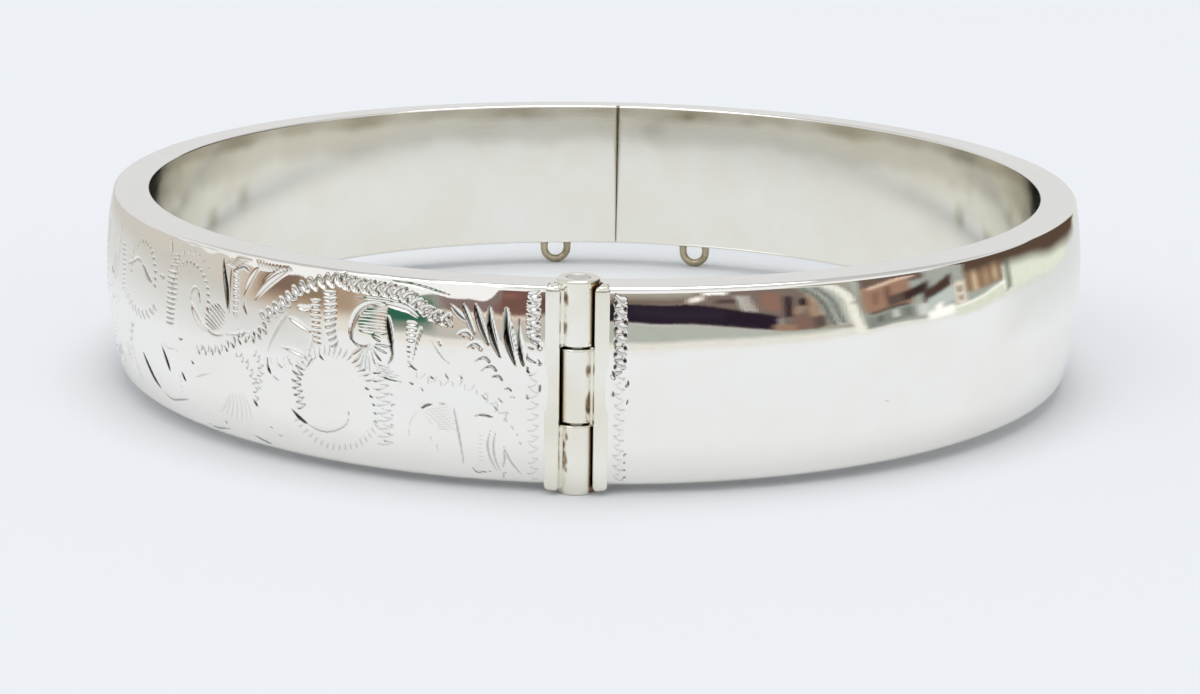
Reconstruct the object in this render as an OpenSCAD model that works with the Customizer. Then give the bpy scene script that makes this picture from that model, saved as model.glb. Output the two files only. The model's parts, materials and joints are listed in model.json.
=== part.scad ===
// Hinged bangle of hollow silver, lying on its side: the hinge is at the front, the clasp at the back.
// Each half is modelled upright, with its lower rim at z = 0, and rest() then leans it onto the surface.

/* [Band] */
// Height of the band from rim to rim
band_h = 10.5; // [8:0.5:14]
// Diameter of the opening for the wrist
inner_d = 55.2; // [46:0.2:66]
// Thickness of the band at its rims, before the shoulder is taken off
rim_t = 2.15; // [1.7:0.05:3]
// How far the face bulges beyond the rims
crown = 0.55; // [0.3:0.05:1.2]
// Width of the shoulder between each rim and the face
shoulder = 0.25; // [0.1:0.05:0.4]
// Thickness of the silver sheet
wall = 0.45; // [0.3:0.05:0.6]

/* [Hinge] */
// Diameter of the hinge barrel
barrel_d = 2.2; // [1.8:0.05:2.6]
// How far the barrel stands beyond each rim
barrel_over = 0.4; // [0.2:0.05:0.8]
// Length of the middle knuckle
mid_knuckle = 3.9; // [2.5:0.1:5]
// How far the middle knuckle sits above the middle of the band
mid_shift = 0.15; // [-0.5:0.05:0.5]
// Gap between neighbouring knuckles
knuckle_gap = 0.12; // [0.08:0.01:0.3]
// Gap between the barrel and the seat that it turns in
seat_gap = 0.1; // [0.06:0.01:0.2]
// Metal left between the seat and the inside of the band
seat_back = 0.36; // [0.2:0.02:0.6]
// Width of the window that shows the barrel at the front
window_w = 1.45; // [1.2:0.05:1.7]
// Width of the two bearer bars beside the barrel, with the window between them
bearer_w = 2.7; // [2.4:0.05:3.2]
// How far the bearer bars stand out beyond the face
bearer_out = 0.06; // [0.02:0.02:0.3]
// How far the bearer bars stand beyond each rim
bearer_over = 0.15; // [0.05:0.05:0.3]
// Gap between the two halves behind the barrel
hinge_gap = 0.12; // [0.08:0.01:0.3]
// Diameter of the hinge pin
pin_d = 1.2; // [0.8:0.05:1.4]
// Running clearance round the pin
pin_clear = 0.03; // [0.02:0.01:0.06]

/* [Clasp] */
// Distance of the seam from the point opposite the hinge, towards the plain half
seam_x = 0.9; // [-2:0.1:3]
// Gap between the halves at the seam
seam_gap = 0.12; // [0.08:0.01:0.3]
// Thickness of the plate that closes the clasp end of each half
plate_t = 0.6; // [0.4:0.05:1]
// Thickness of the tongue
tongue_t = 0.7; // [0.4:0.05:0.8]
// Height of the tongue
tongue_h = 5.5; // [3:0.5:6]
// How far the tongue reaches into the engraved half
tongue_reach = 4; // [2:0.5:5]
// Clearance round the tongue in its slots
tongue_gap = 0.08; // [0.05:0.01:0.12]
// Length of the tongue's root inside the plain half
root_l = 1; // [0.6:0.1:1.5]
// How far the root stands above and below the tongue
root_over = 0.7; // [0.4:0.1:1]

/* [Chain loops] */
// Distance of the engraved half's loop from the seam
left_loop = 4.6; // [3:0.1:8]
// Distance of the plain half's loop from the seam
right_loop = 6; // [3:0.1:8]
// Outer width of a loop
loop_w = 2.3; // [1.8:0.1:3]
// How far a loop hangs below the lower rim
loop_drop = 1.7; // [1.4:0.05:2.2]
// Diameter of a loop's wire
loop_wire = 0.55; // [0.4:0.05:0.6]

/* [Hidden] */
$fn = 128;
// Sides of the two halves along X
LEFT = -1;
RIGHT = 1;
// Band
inner_r = inner_d / 2;
band_t = rim_t + crown;
face_r = (band_h * band_h / 4 + crown * crown) / (2 * crown);
// How far past the middle each half is swept before it is cut off, in degrees
spare_a = 12;
// Larger than the bangle, for cutting
big = 4 * (inner_r + band_t + band_h);
// Hinge
barrel_r = barrel_d / 2;
seat_r = barrel_r + seat_gap;
hinge_y = -(inner_r + seat_back + seat_r);
mid_z = (band_h - mid_knuckle) / 2 + mid_shift;
top_z = mid_z + mid_knuckle;
// Tongue, bent round the hinge so that it slides along its own arc
tongue_mid = (band_t - tongue_h * tongue_h / (8 * face_r)) / 2;
tongue_r = inner_r + tongue_mid - hinge_y;
seam_a = 90 - asin(seam_x / tongue_r);
// Chain loops
wire_r = loop_wire / 2;
loop_bend_r = (loop_w - loop_wire) / 2;
loop_leg = loop_drop - wire_r - loop_bend_r;
loop_row_r = inner_r + (rim_t - shoulder) / 2;
// Lean at which the barrel's end and the loops touch the surface together, and the height that it gives
front_y = hinge_y - barrel_r;
rest_len = loop_row_r - front_y;
rest_rise = loop_drop - wire_r - barrel_over;
rest_a = acos(-wire_r / norm([rest_len, rest_rise])) - atan2(rest_len, rest_rise);
lift = barrel_over * cos(rest_a) - front_y * sin(rest_a);

// Leans the bangle onto the surface at z = 0, with its middle over the origin.
module rest() {
    translate([0, band_h / 2 * sin(rest_a), lift]) rotate([rest_a, 0, 0]) children();
}

// Outline of the band's section: a flat inside, flat rims, bevelled shoulders and a bulging face.
module band_section() {
    intersection() {
        translate([band_t - face_r, band_h / 2]) circle(face_r);
        polygon([
            [0, 0],
            [rim_t - shoulder, 0],
            [rim_t - shoulder + band_h / 2, band_h / 2],
            [rim_t - shoulder, band_h],
            [0, band_h]
        ]);
    }
}

// Outline of the hollow inside the sheet.
module hollow_section() {
    intersection() {
        translate([band_t - face_r, band_h / 2]) circle(face_r - wall);
        translate([wall, wall]) square([band_t, band_h - 2 * wall]);
    }
}

// Sweeps a section round one half, from front_x beside the hinge to back_x beside the seam.
module half_sweep(side, front_x, back_x) {
    difference() {
        rotate_extrude(angle = 180 + 2 * spare_a, start = (side == LEFT ? 90 : -90) - spare_a)
            translate([inner_r, 0]) children();
        translate([side * (front_x - big / 2), -big / 2, 0]) cube(big, center = true);
        translate([seam_x + side * (back_x - big / 2), big / 2, 0]) cube(big, center = true);
    }
}

// A round bar along the hinge's axis.
module hinge_bar(r, z0, z1) {
    translate([0, hinge_y, z0]) cylinder(r = r, h = z1 - z0);
}

// The upright bar in front of a half's end, beside the barrel.
module bearer(side) {
    bar_x = (bearer_w - hinge_gap) / 2;
    bar_y = inner_r + band_t + bearer_out + hinge_y;
    translate([side * (hinge_gap + bar_x) / 2, hinge_y - bar_y / 2, band_h / 2])
        cube([bar_x, bar_y, band_h + 2 * bearer_over], center = true);
}

// A stretch of the tongue's arc: from and to are distances from the seam, towards the plain half.
module tongue_arc(from, to, thick, high) {
    turn = 180 / (PI * tongue_r);
    translate([0, hinge_y, band_h / 2])
        rotate_extrude(angle = (to - from) * turn, start = seam_a - to * turn)
            translate([tongue_r, 0]) square([thick, high], center = true);
}

// A half without its knuckles: the hollow band, the bearer, the barrel's window and the tongue's slot.
module half_shell(side) {
    plate_in = seam_gap / 2 + plate_t;
    difference() {
        union() {
            half_sweep(side, hinge_gap / 2, seam_gap / 2) band_section();
            bearer(side);
        }
        half_sweep(side, seat_r + 2 * wall, plate_in) hollow_section();
        translate([-window_w / 2, hinge_y - big, -band_h]) cube([window_w, big, 3 * band_h]);
        tongue_arc(-plate_in - wall, plate_in + wall, tongue_t + 2 * tongue_gap, tongue_h + 2 * tongue_gap);
    }
}

// A half-round wire loop for a safety chain, soldered under the lower rim at loop_x.
module chain_loop(loop_x) {
    rotate(-asin(loop_x / loop_row_r)) translate([0, loop_row_r, 0]) {
        translate([0, 0, -loop_leg]) rotate([90, 0, 0])
            rotate_extrude(angle = 180, start = 180) translate([loop_bend_r, 0]) circle(wire_r);
        for (side = [LEFT, RIGHT])
            translate([side * loop_bend_r, 0, -loop_leg]) cylinder(r = wire_r, h = loop_leg + wall / 2);
    }
}

// The bore through the knuckles.
module pin_bore() {
    hinge_bar(pin_d / 2 + pin_clear, -band_h, 2 * band_h);
}

module engraved_half() {
    color("gainsboro") rest() difference() {
        union() {
            difference() {
                half_shell(LEFT);
                hinge_bar(seat_r, mid_z - knuckle_gap, top_z + knuckle_gap);
            }
            hinge_bar(barrel_r, -barrel_over, mid_z - knuckle_gap);
            hinge_bar(barrel_r, top_z + knuckle_gap, band_h + barrel_over);
            chain_loop(seam_x - left_loop);
        }
        pin_bore();
    }
}

module plain_half() {
    color("silver") rest() difference() {
        union() {
            difference() {
                half_shell(RIGHT);
                hinge_bar(seat_r, -band_h, mid_z);
                hinge_bar(seat_r, top_z, 2 * band_h);
            }
            hinge_bar(barrel_r, mid_z, top_z);
            chain_loop(seam_x + right_loop);
        }
        pin_bore();
    }
}

module hinge_pin() {
    color("darkgray") rest() hinge_bar(pin_d / 2, -barrel_over, band_h + barrel_over);
}

module clasp_tongue() {
    root_from = seam_gap / 2 + plate_t + tongue_gap;
    color("lightsteelblue") rest() union() {
        tongue_arc(-tongue_reach, root_from + root_l, tongue_t, tongue_h);
        tongue_arc(root_from, root_from + root_l, tongue_t, tongue_h + 2 * root_over);
    }
}

engraved_half();
plain_half();
hinge_pin();
clasp_tongue();
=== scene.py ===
"""Looks of a hinged silver bangle lying on its side: one half scroll-engraved, one half plain.

Lengths are in millimetres in the upright band's own frame, with the lower rim at z = 0 and the band's
axis at x = y = 0. Resting.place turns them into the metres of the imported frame, where the bangle leans.
"""

import json
import logging
import math
from dataclasses import dataclass, replace
from enum import Enum

import bpy
import numpy as np
from mathutils import Matrix, Vector


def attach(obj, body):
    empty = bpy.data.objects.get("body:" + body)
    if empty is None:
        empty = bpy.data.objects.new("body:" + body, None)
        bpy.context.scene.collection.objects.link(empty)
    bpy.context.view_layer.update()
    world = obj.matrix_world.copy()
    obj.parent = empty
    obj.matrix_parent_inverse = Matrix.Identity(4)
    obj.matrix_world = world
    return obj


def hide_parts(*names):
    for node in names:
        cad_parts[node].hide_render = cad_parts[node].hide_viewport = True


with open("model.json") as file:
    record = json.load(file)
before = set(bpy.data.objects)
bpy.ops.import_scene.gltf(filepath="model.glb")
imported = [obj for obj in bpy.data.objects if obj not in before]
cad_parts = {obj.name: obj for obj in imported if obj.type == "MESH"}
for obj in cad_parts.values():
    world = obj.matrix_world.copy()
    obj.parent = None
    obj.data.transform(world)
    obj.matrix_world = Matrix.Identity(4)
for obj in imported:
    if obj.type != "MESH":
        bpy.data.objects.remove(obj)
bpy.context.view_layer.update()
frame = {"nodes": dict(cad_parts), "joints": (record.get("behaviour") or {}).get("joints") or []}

LOG = logging.getLogger("bangle")
MM = 0.001
PHOTO_W = 1200
PHOTO_H = 694
SENSOR_MM = 36.0
SEED = 5
# Width of a hair scratch: coarser than a real one, so that it shows.
HAIR_MM = 0.12


class Half(Enum):
    """The two halves of the band: the sign of their side along X."""

    ENGRAVED = -1
    PLAIN = 1

    @property
    def body(self) -> str:
        """Name of the moving body that the half belongs to."""
        return "engraved_side" if self is Half.ENGRAVED else "plain_side"

    @property
    def slot(self) -> str:
        """Name of the record's material slot for the half."""
        return "engraved_silver" if self is Half.ENGRAVED else "plain_silver"


class Zone(Enum):
    """Stretches of a band's section that each have a finish of their own."""

    INSIDE = 0
    RIM = 1
    FACE = 2
    END = 3


@dataclass(frozen=True)
class Resting:
    """How the upright band leans on the surface: by its barrel's end in front and its loops behind."""

    lean: float
    shift_y: float
    lift: float

    @classmethod
    def from_joint(cls, joint: dict, band_h: float) -> "Resting":
        """Works the lean out of the hinge, whose recorded point is the middle of its axis.

        Args:
            joint: the hinge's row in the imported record.
            band_h: height of the band.

        Returns:
            The lean in radians, and the shifts in millimetres.
        """
        axis, pos = joint["axis"], [x / MM for x in joint["pos_m"]]
        lean = math.atan2(axis[1], -axis[2])
        hinge_y = pos[1] / math.cos(lean)
        lift = pos[2] - hinge_y * math.sin(lean) - band_h / 2 * math.cos(lean)
        return cls(lean, band_h / 2 * math.sin(lean), lift)

    def turn(self, vectors: np.ndarray) -> np.ndarray:
        """Turns vectors about X by the lean: y' = y cos a - z sin a, z' = y sin a + z cos a.

        Args:
            vectors: array whose last axis is x, y, z.

        Returns:
            The turned vectors.
        """
        c, s = math.cos(self.lean), math.sin(self.lean)
        x, y, z = np.moveaxis(np.asarray(vectors, float), -1, 0)
        return np.stack([x, y * c - z * s, y * s + z * c], -1)

    def place(self, points: np.ndarray) -> np.ndarray:
        """Leans points of the upright frame and gives them in metres.

        Args:
            points: array whose last axis is x, y, z in millimetres.

        Returns:
            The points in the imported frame, in metres.
        """
        return (self.turn(points) + np.array([0.0, self.shift_y, self.lift])) * MM


@dataclass(frozen=True)
class Section:
    """A closed outline of the band: depth from the inside wall, height, and the zone of each stretch."""

    depth: np.ndarray
    z: np.ndarray
    zone: np.ndarray
    face: np.ndarray


@dataclass(frozen=True)
class Band:
    """Sizes that both halves of the band share."""

    height: float = 10.5
    inner_r: float = 27.6
    rim_t: float = 2.15
    crown: float = 0.55
    shoulder_r: float = 0.3
    edge_r: float = 0.14
    hold: float = 0.03
    arc_steps: int = 8

    @property
    def outer_r(self) -> float:
        """Radius at the fullest part of the face."""
        return self.inner_r + self.rim_t + self.crown

    @property
    def face_r(self) -> float:
        """Radius of the face's bulge: a circle through both rims, crown beyond them."""
        return (self.height**2 / 4 + self.crown**2) / (2 * self.crown)

    def section(self, rows: int) -> Section:
        """Outline of the band's section, once round from the lower inside corner.

        It is a straight inside wall, a quarter circle, a straight rim, a shoulder circle that meets both
        the rim and the face's circle without a corner, the face's circle, and the same again below.

        Args:
            rows: number of steps up the face.

        Returns:
            The closed outline, with the inside wall first.
        """
        h, e, s = self.height, self.edge_r, self.shoulder_r
        centre = self.rim_t + self.crown - self.face_r
        shoulder_x = centre + math.sqrt((self.face_r - s) ** 2 - (h / 2 - s) ** 2)
        tilt = math.atan2(h / 2 - s, shoulder_x - centre)
        # rows lie close together high on the wall, where its strips of painted shade and tarnish lie
        plain_wall, stain_and_shade_wall = np.linspace(1.5, 6.5, 6), np.linspace(7, h - e - self.hold, 14)
        wall = np.concatenate([[e, e + self.hold], plain_wall, stain_and_shade_wall])
        corner = np.linspace(math.pi, math.pi / 2, self.arc_steps, endpoint=False)
        rim = np.array([e, e + self.hold, shoulder_x - self.hold])
        shoulder = np.linspace(math.pi / 2, tilt, self.arc_steps, endpoint=False)
        face = np.linspace(tilt, -tilt, rows + 1)
        top_x = [np.zeros(len(wall)), e + e * np.cos(corner), rim, shoulder_x + s * np.cos(shoulder)]
        top_z = [wall, h - e + e * np.sin(corner), np.full(len(rim), h), h - s + s * np.sin(shoulder)]
        zones = [Zone.INSIDE, Zone.RIM, Zone.RIM, Zone.FACE]
        low_x = [x[::-1] for x in top_x[:0:-1]]
        low_z = [h - z[::-1] for z in top_z[:0:-1]]
        parts_x = [*top_x, centre + self.face_r * np.cos(face), *low_x]
        parts_z = [*top_z, h / 2 + self.face_r * np.sin(face), *low_z]
        names = [*zones, Zone.FACE, Zone.FACE, Zone.RIM, Zone.RIM]
        sizes = [len(x) for x in parts_x]
        zone = np.repeat([n.value for n in names], sizes)
        on_face = np.repeat([i in (3, 4, 5) for i in range(len(parts_x))], sizes)
        return Section(np.concatenate(parts_x), np.concatenate(parts_z), zone, on_face)


@dataclass(frozen=True)
class Hinge:
    """Sizes of the barrel hinge at the front."""

    y: float = -29.16
    barrel_r: float = 1.1
    seat_r: float = 1.2
    fused_r: float = 1.04
    over: float = 0.4
    low_z: float = 3.45
    top_z: float = 7.35
    gap: float = 0.12
    bore_r: float = 0.63
    pin_r: float = 0.6
    bearer_edge: float = 0.87
    bearer_crest: float = 1.15
    bearer_foot: float = 1.62
    bearer_out: float = 0.06
    bearer_over: float = 0.15


@dataclass(frozen=True)
class Clasp:
    """Sizes of the seam, drawn nearly closed, and of the slot that takes the tongue.

    squareness is the power n of the slot's outline: the larger it is, the sharper the corners are.
    """

    seam_x: float = 0.9
    gap: float = 0.03
    tongue_t: float = 0.7
    tongue_h: float = 5.5
    clear: float = 0.08
    pocket: float = 4.6
    tongue_depth: float = 1.2
    squareness: float = 10.0


def smooth_line(points: np.ndarray, step: float) -> np.ndarray:
    """Smooth curve through points: between two neighbours it is the Catmull-Rom cubic.

    Args:
        points: array of shape (n, d).
        step: largest distance between samples, roughly.

    Returns:
        Samples of the curve, array of shape (m, d).
    """
    p = np.asarray(points, float)
    q = np.vstack([2 * p[0] - p[1], p, 2 * p[-1] - p[-2]])
    longest = np.linalg.norm(np.diff(p, axis=0), axis=1).max()
    t = np.linspace(0, 1, max(2, math.ceil(longest / step)), endpoint=False)[None, :, None]
    a, b, c, d = (q[i:len(q) - 3 + i, None] for i in range(4))
    curve = (2 * b + (c - a) * t + (2 * a - 5 * b + 4 * c - d) * t**2 + (3 * b - 3 * c + d - a) * t**3) / 2
    return np.vstack([curve.reshape(-1, p.shape[1]), p[-1:]])


def along(points: np.ndarray, shares: np.ndarray) -> np.ndarray:
    """Points at given shares of a smooth curve's length.

    Args:
        points: array of shape (n, d) that the curve goes through.
        shares: places along it, from 0 to 1.

    Returns:
        Array of shape (len(shares), d).
    """
    line = smooth_line(points, 0.08)
    run = np.concatenate([[0], np.cumsum(np.linalg.norm(np.diff(line, axis=0), axis=1))])
    return np.stack([np.interp(shares * run[-1], run, c) for c in line.T], -1)


@dataclass(frozen=True)
class Stroke:
    """One cut of the graver: a line through a few (u, v) points on the face.

    u is the distance along the face from the hinge and v the height above the lower rim. swell is the
    place along the cut, from 0 to 1, where it is widest and deepest. skew is where its bottom line lies,
    from -1 at the left of the way that it runs to 1 at the right. dark is the tarnish and painted shade
    on its left wall.
    """

    path: tuple
    width: float = 0.16
    depth: float = 0.05
    swell: float = 0.5
    dark: float = 0.3
    skew: float = 0.1


def wriggle(path: list, pitch: float, span: float, width: float, depth: float,
            dark: float = 0.3, pit: float = 0.0) -> list[Stroke]:
    """Wriggle cut: the graver is rocked from corner to corner, so it steps from side to side of a path.

    Args:
        path: (u, v) points that its middle follows.
        pitch: length of one step to and fro.
        span: distance from side to side.
        width: width of each cut.
        depth: depth of each cut.
        dark: tarnish and painted shade on the lower wall of each cut.
        pit: width of the pit that the tool leaves between two corners of one side, darkened with painted
            shade, or 0.

    Returns:
        The cuts, each widest near its end, where the corner of the tool digs in.
    """
    line = smooth_line(path, 0.08)
    length = np.linalg.norm(np.diff(line, axis=0), axis=1).sum()
    count = max(2, round(length / pitch * 2))
    mid = along(path, np.linspace(0, 1, count + 1))
    way = np.gradient(mid, axis=0)
    way /= np.linalg.norm(way, axis=1, keepdims=True)
    side = np.where(np.arange(count + 1) % 2, 1.0, -1.0)[:, None]
    corner = mid + np.stack([-way[:, 1], way[:, 0]], -1) * side * span / 2
    bow = (corner[1:] + corner[:-1]) / 2 + way[1:] * pitch * 0.18
    cuts = []
    for a, m, b in zip(corner[:-1], bow, corner[1:]):
        cuts.append(Stroke((a, m, b), width, depth, 0.78, dark) if a[0] > b[0]
                    else Stroke((b, m, a), width, depth, 0.22, dark))
    # the pits are darkened nearly black: painted shade, with some tarnish
    if pit:
        middle = mid - (corner - mid) * 0.8 + way * pitch * 0.1
        across = (corner - mid) * 0.34
        cuts += [Stroke((m - s, m, m + s), pit, 0.07, 0.5, 0.97, 0.7)
                 for m, s in zip(middle[1:-1], across[1:])]
    return cuts


def ladder(first: list, last: list, count: int, width: float, depth: float,
           bow: float = 0.0, swell: float = 0.5, dark: float = 0.2) -> list[Stroke]:
    """Cuts laid side by side like rungs, from one curve to another.

    Args:
        first: (u, v) points of the curve where the cuts begin.
        last: (u, v) points of the curve where they end.
        count: number of cuts.
        width: width of each cut.
        depth: depth of each cut.
        bow: how far each cut bends aside at its middle, as a share of its length.
        swell: place along each cut where it is widest.
        dark: tarnish and painted shade on one wall of each cut.

    Returns:
        The cuts.
    """
    shares = np.linspace(0, 1, count)
    a, b = along(first, shares), along(last, shares)
    aside = np.stack([a[:, 1] - b[:, 1], b[:, 0] - a[:, 0]], -1) * bow
    return [Stroke((p, m, q), width, depth, swell, dark) for p, m, q in zip(a, (a + b) / 2 + aside, b)]


def ring(centre: tuple, inner: float, outer: float, start: float, end: float, count: int,
         width: float, depth: float, dark: float = 0.4) -> list[Stroke]:
    """Short cuts that stand out round a circle.

    Args:
        centre: (u, v) of the circle's middle.
        inner: radius where the cuts begin.
        outer: radius where they end.
        start: angle of the first cut in degrees, from +u towards +v.
        end: angle of the last cut.
        count: number of cuts.
        width: width of each cut.
        depth: depth of each cut.
        dark: tarnish and painted shade on one wall of each cut.

    Returns:
        The cuts.
    """
    a = np.radians(np.linspace(start, end, count))[:, None]
    way = np.concatenate([np.cos(a), np.sin(a)], 1)
    lean = np.concatenate([-np.sin(a), np.cos(a)], 1) * (outer - inner) * 0.3
    p, q = np.asarray(centre) + way * inner, np.asarray(centre) + way * outer + lean
    return [Stroke((i, (i + j) / 2, j), width, depth, 0.6, dark) for i, j in zip(p, q)]


class ScrollOrnament:
    """The engraved scrolls, read from the photograph, as cuts on the unrolled face."""

    hook: np.ndarray = np.array([[0.46, -0.24], [0.16, 0.06], [-0.16, 0.14], [-0.36, -0.02], [-0.38, -0.24]])

    def hinge_border(self) -> list[Stroke]:
        """Wriggle cut beside the hinge, deep above and faint below."""
        return [
            *wriggle([(2.22, 10.35), (2.24, 9.2), (2.22, 7.75)], 0.62, 0.6, 0.3, 0.1, 0.4, 0.17),
            Stroke(((2.42, 7.72), (2.15, 7.74), (1.9, 7.55), (1.92, 7.3)), 0.22, 0.07, 0.75, 0.95, -0.1),
            Stroke(((2.5, 7.5), (2.35, 7.42), (2.2, 7.38)), 0.12, 0.04, 0.5, 0.6),
            Stroke(((2.5, 7.1), (2.48, 6.9), (2.3, 6.78), (1.98, 6.62)), 0.18, 0.06, 0.3, 0.8),
            Stroke(((1.98, 6.85), (1.86, 6.68), (1.95, 6.5)), 0.18, 0.06, 0.5, 0.85),
            *wriggle([(2.2, 6.3), (2.2, 3.5), (2.25, 0.3)], 0.6, 0.6, 0.12, 0.02, 0.35),
            Stroke(((2.5, 6.45), (2.48, 6.2), (2.36, 6.05)), 0.2, 0.06, 0.4, 0.8, 0.5),
            Stroke(((1.86, 5.55), (1.85, 5.3), (1.9, 5.12)), 0.17, 0.06, 0.5, 0.85, 0.5),
            Stroke(((2.5, 5.0), (2.5, 4.8), (2.5, 4.66)), 0.14, 0.05, 0.5, 0.7, 0.5),
        ]

    def fan(self) -> list[Stroke]:
        """Fan of long tapered cuts above, with a thin cut beside two of them."""
        deep = [
            ((2.95, 9.1), (2.95, 7.9), (2.7, 6.4)), ((3.65, 9.4), (3.52, 7.9), (3.1, 6.4)),
            ((4.55, 9.4), (4.37, 8.1), (3.9, 6.8)), ((5.3, 9.55), (4.98, 8.5), (4.52, 7.4)),
            ((5.95, 9.55), (5.65, 8.75), (5.25, 7.85)), ((6.6, 9.35), (6.2, 8.95), (5.7, 8.55)),
        ]
        thin = [((3.4, 8.8), (3.28, 8.0), (3.02, 7.0)), ((5.15, 9.3), (4.95, 8.85), (4.7, 8.1))]
        wide = [0.34, 0.46, 0.42, 0.34, 0.28, 0.24]
        # black: darkening of each cut's steep wall, tarnish and painted shade
        black = [0.9, 0.98, 0.98, 0.95, 0.75, 0.85]
        peak = [0.68, 0.5, 0.5, 0.5, 0.55, 0.5]
        return [*(Stroke(p, w, w * 0.33, s, d, 0.2) for p, w, s, d in zip(deep, wide, peak, black)),
                *(Stroke(p, 0.1, 0.04, 0.5, 0.5) for p in thin)]

    def trailing_hooks(self) -> list[Stroke]:
        """Row of C-shaped hooks that falls away from the big arc, and the ticks that end it."""
        anchors = [(5.85, 7.88, 1.05), (5.32, 7.33, 1.0), (4.84, 6.68, 1.0), (4.48, 6.26, 0.95),
                   (4.14, 5.78, 0.9), (3.57, 5.17, 0.7), (3.3, 4.75, 0.5)]
        ticks = [((3.6, 4.05), (3.45, 3.85)), ((3.7, 3.65), (3.5, 3.4)), ((3.35, 3.25), (3.2, 3.05)),
                 ((3.08, 2.9), (2.98, 2.65)), ((2.92, 2.4), (2.8, 2.2))]
        hooks = [Stroke(self.hook * size + (u, v), 0.22 * size, 0.075 * size, 0.72, 0.8, -0.1)
                 for u, v, size in anchors]
        inside = [Stroke(((u + 0.1, v - 0.04), (u - 0.08, v - 0.1)), 0.12, 0.03, 0.5, 0.7, 0.4)
                  for u, v, _ in anchors[:2]]
        return [*hooks, *inside, *(Stroke((a, np.add(a, b) / 2, b), 0.12, 0.04, 0.5, 0.5) for a, b in ticks)]

    def big_arc(self) -> list[Stroke]:
        """Double wriggle that arches under the upper rim and falls towards the second leaf."""
        return [
            *wriggle([(6.4, 8.5), (7.5, 8.75), (8.4, 9.3), (9.5, 9.72), (11.2, 9.82), (12.9, 9.95)],
                     0.6, 0.66, 0.27, 0.09, 0.5, 0.13),
            *wriggle([(12.4, 10.1), (13.4, 9.95), (14.6, 9.6), (15.5, 9.2), (16.3, 8.5), (17.0, 7.95),
                      (17.8, 7.4)], 0.54, 0.7, 0.26, 0.095, 0.5),
            *wriggle([(7.0, 8.3), (8.0, 8.95), (9.2, 9.42)], 0.5, 0.3, 0.14, 0.05, 0.6),
            *ladder([(13.95, 9.3), (13.78, 8.2), (13.65, 7.3), (13.3, 6.5)],
                    [(13.1, 9.35), (13.02, 8.4), (13.05, 7.6), (12.9, 6.9)],
                    9, 0.24, 0.085, 0.08, 0.5, 0.55),
            Stroke(((6.5, 9.75), (8.6, 10.15), (10.6, 10.25)), 0.12, 0.04),
            Stroke(((12.0, 9.2), (10.4, 9.28), (8.9, 9.12)), 0.1, 0.04),
        ]

    def c_scroll(self) -> list[Stroke]:
        """The C-shaped leaf: a thick outline, hatching inside it and rays below it."""
        rays = [(9.75, 6.95), (9.95, 6.55), (10.25, 6.05), (10.6, 5.75), (10.95, 5.3), (11.3, 5.25),
                (11.65, 5.3), (11.9, 5.75), (12.1, 6.2)]
        return [
            Stroke(((12.05, 7.0), (12.1, 7.7), (11.8, 8.45), (11.2, 8.92), (10.3, 9.1)),
                   0.34, 0.085, 0.4, 0.45),
            Stroke(((10.2, 9.1), (9.4, 9.0), (8.8, 8.85), (8.25, 8.5)), 0.28, 0.085, 0.4, 0.75, -0.3),
            Stroke(((12.1, 7.15), (11.75, 6.85), (11.3, 6.8), (10.95, 6.95)), 0.16, 0.05, 0.5, 0.6),
            *ladder([(11.4, 8.85), (11.7, 8.3), (11.7, 7.6)], [(10.0, 8.98), (10.02, 8.4), (10.02, 7.6)],
                    9, 0.23, 0.05, 0, 0.5, 0.06),
            *(Stroke(((11.0, 6.95), np.add((11.0, 6.95), r) / 2 + (0.04, 0.02), r), 0.14, 0.045, 0.65, 0.45)
              for r in rays),
            *ladder([(11.2, 7.75), (10.9, 7.4)], [(10.4, 7.8), (10.3, 7.1)], 4, 0.12, 0.035, 0, 0.5, 0.5),
            Stroke(((10.05, 8.5), (9.87, 7.7), (9.74, 7.0), (9.72, 6.4), (10.0, 5.85)),
                   0.32, 0.11, 0.27, 0.95, 0.25),
            *ladder([(8.92, 8.22), (8.9, 7.8), (8.9, 7.4)], [(8.4, 8.2), (8.42, 7.8), (8.46, 7.4)],
                    4, 0.22, 0.08, 0, 0.5, 0.35),
            *ladder([(8.95, 7.05), (8.9, 6.0)], [(8.65, 7.05), (8.6, 6.0)], 5, 0.12, 0.02, 0, 0.5, 0.2),
            Stroke(((8.12, 8.1), (8.36, 7.3), (8.55, 6.3)), 0.12, 0.05, 0.3, 0.55),
            Stroke(((7.55, 7.5), (7.3, 7.1), (6.9, 6.6), (6.4, 6.2)), 0.09, 0.02, 0.5, 0.45),
            Stroke(((7.2, 7.55), (7.1, 7.35), (7.05, 7.15)), 0.09, 0.025, 0.5, 0.6),
        ]

    def faint_trail(self) -> list[Stroke]:
        """Faint wriggle across the middle, with the firmer ticks that stand in it."""
        ticks = [((8.85, 6.25), (8.5, 5.95), (8.25, 5.8)), ((7.65, 5.62), (7.45, 5.5), (7.35, 5.45)),
                 ((6.8, 5.85), (6.7, 5.65), (6.55, 5.5)), ((6.0, 5.8), (5.92, 5.65), (5.85, 5.55)),
                 ((8.75, 5.15), (8.6, 5.1), (8.48, 5.05)), ((8.1, 4.9), (8.02, 4.82), (7.95, 4.72)),
                 ((4.85, 4.8), (4.7, 4.65), (4.55, 4.55)), ((4.25, 4.3), (4.1, 4.1), (4.0, 3.92)),
                 ((4.0, 4.7), (3.85, 4.55), (3.75, 4.45))]
        return [
            *wriggle([(8.6, 5.7), (7.4, 5.35), (6.2, 5.3), (5.1, 5.0), (4.3, 4.4), (3.6, 3.6)],
                     0.66, 0.5, 0.12, 0.022, 0.35),
            *(Stroke(t, 0.13, 0.045, 0.5, 0.8) for t in ticks),
        ]

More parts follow.
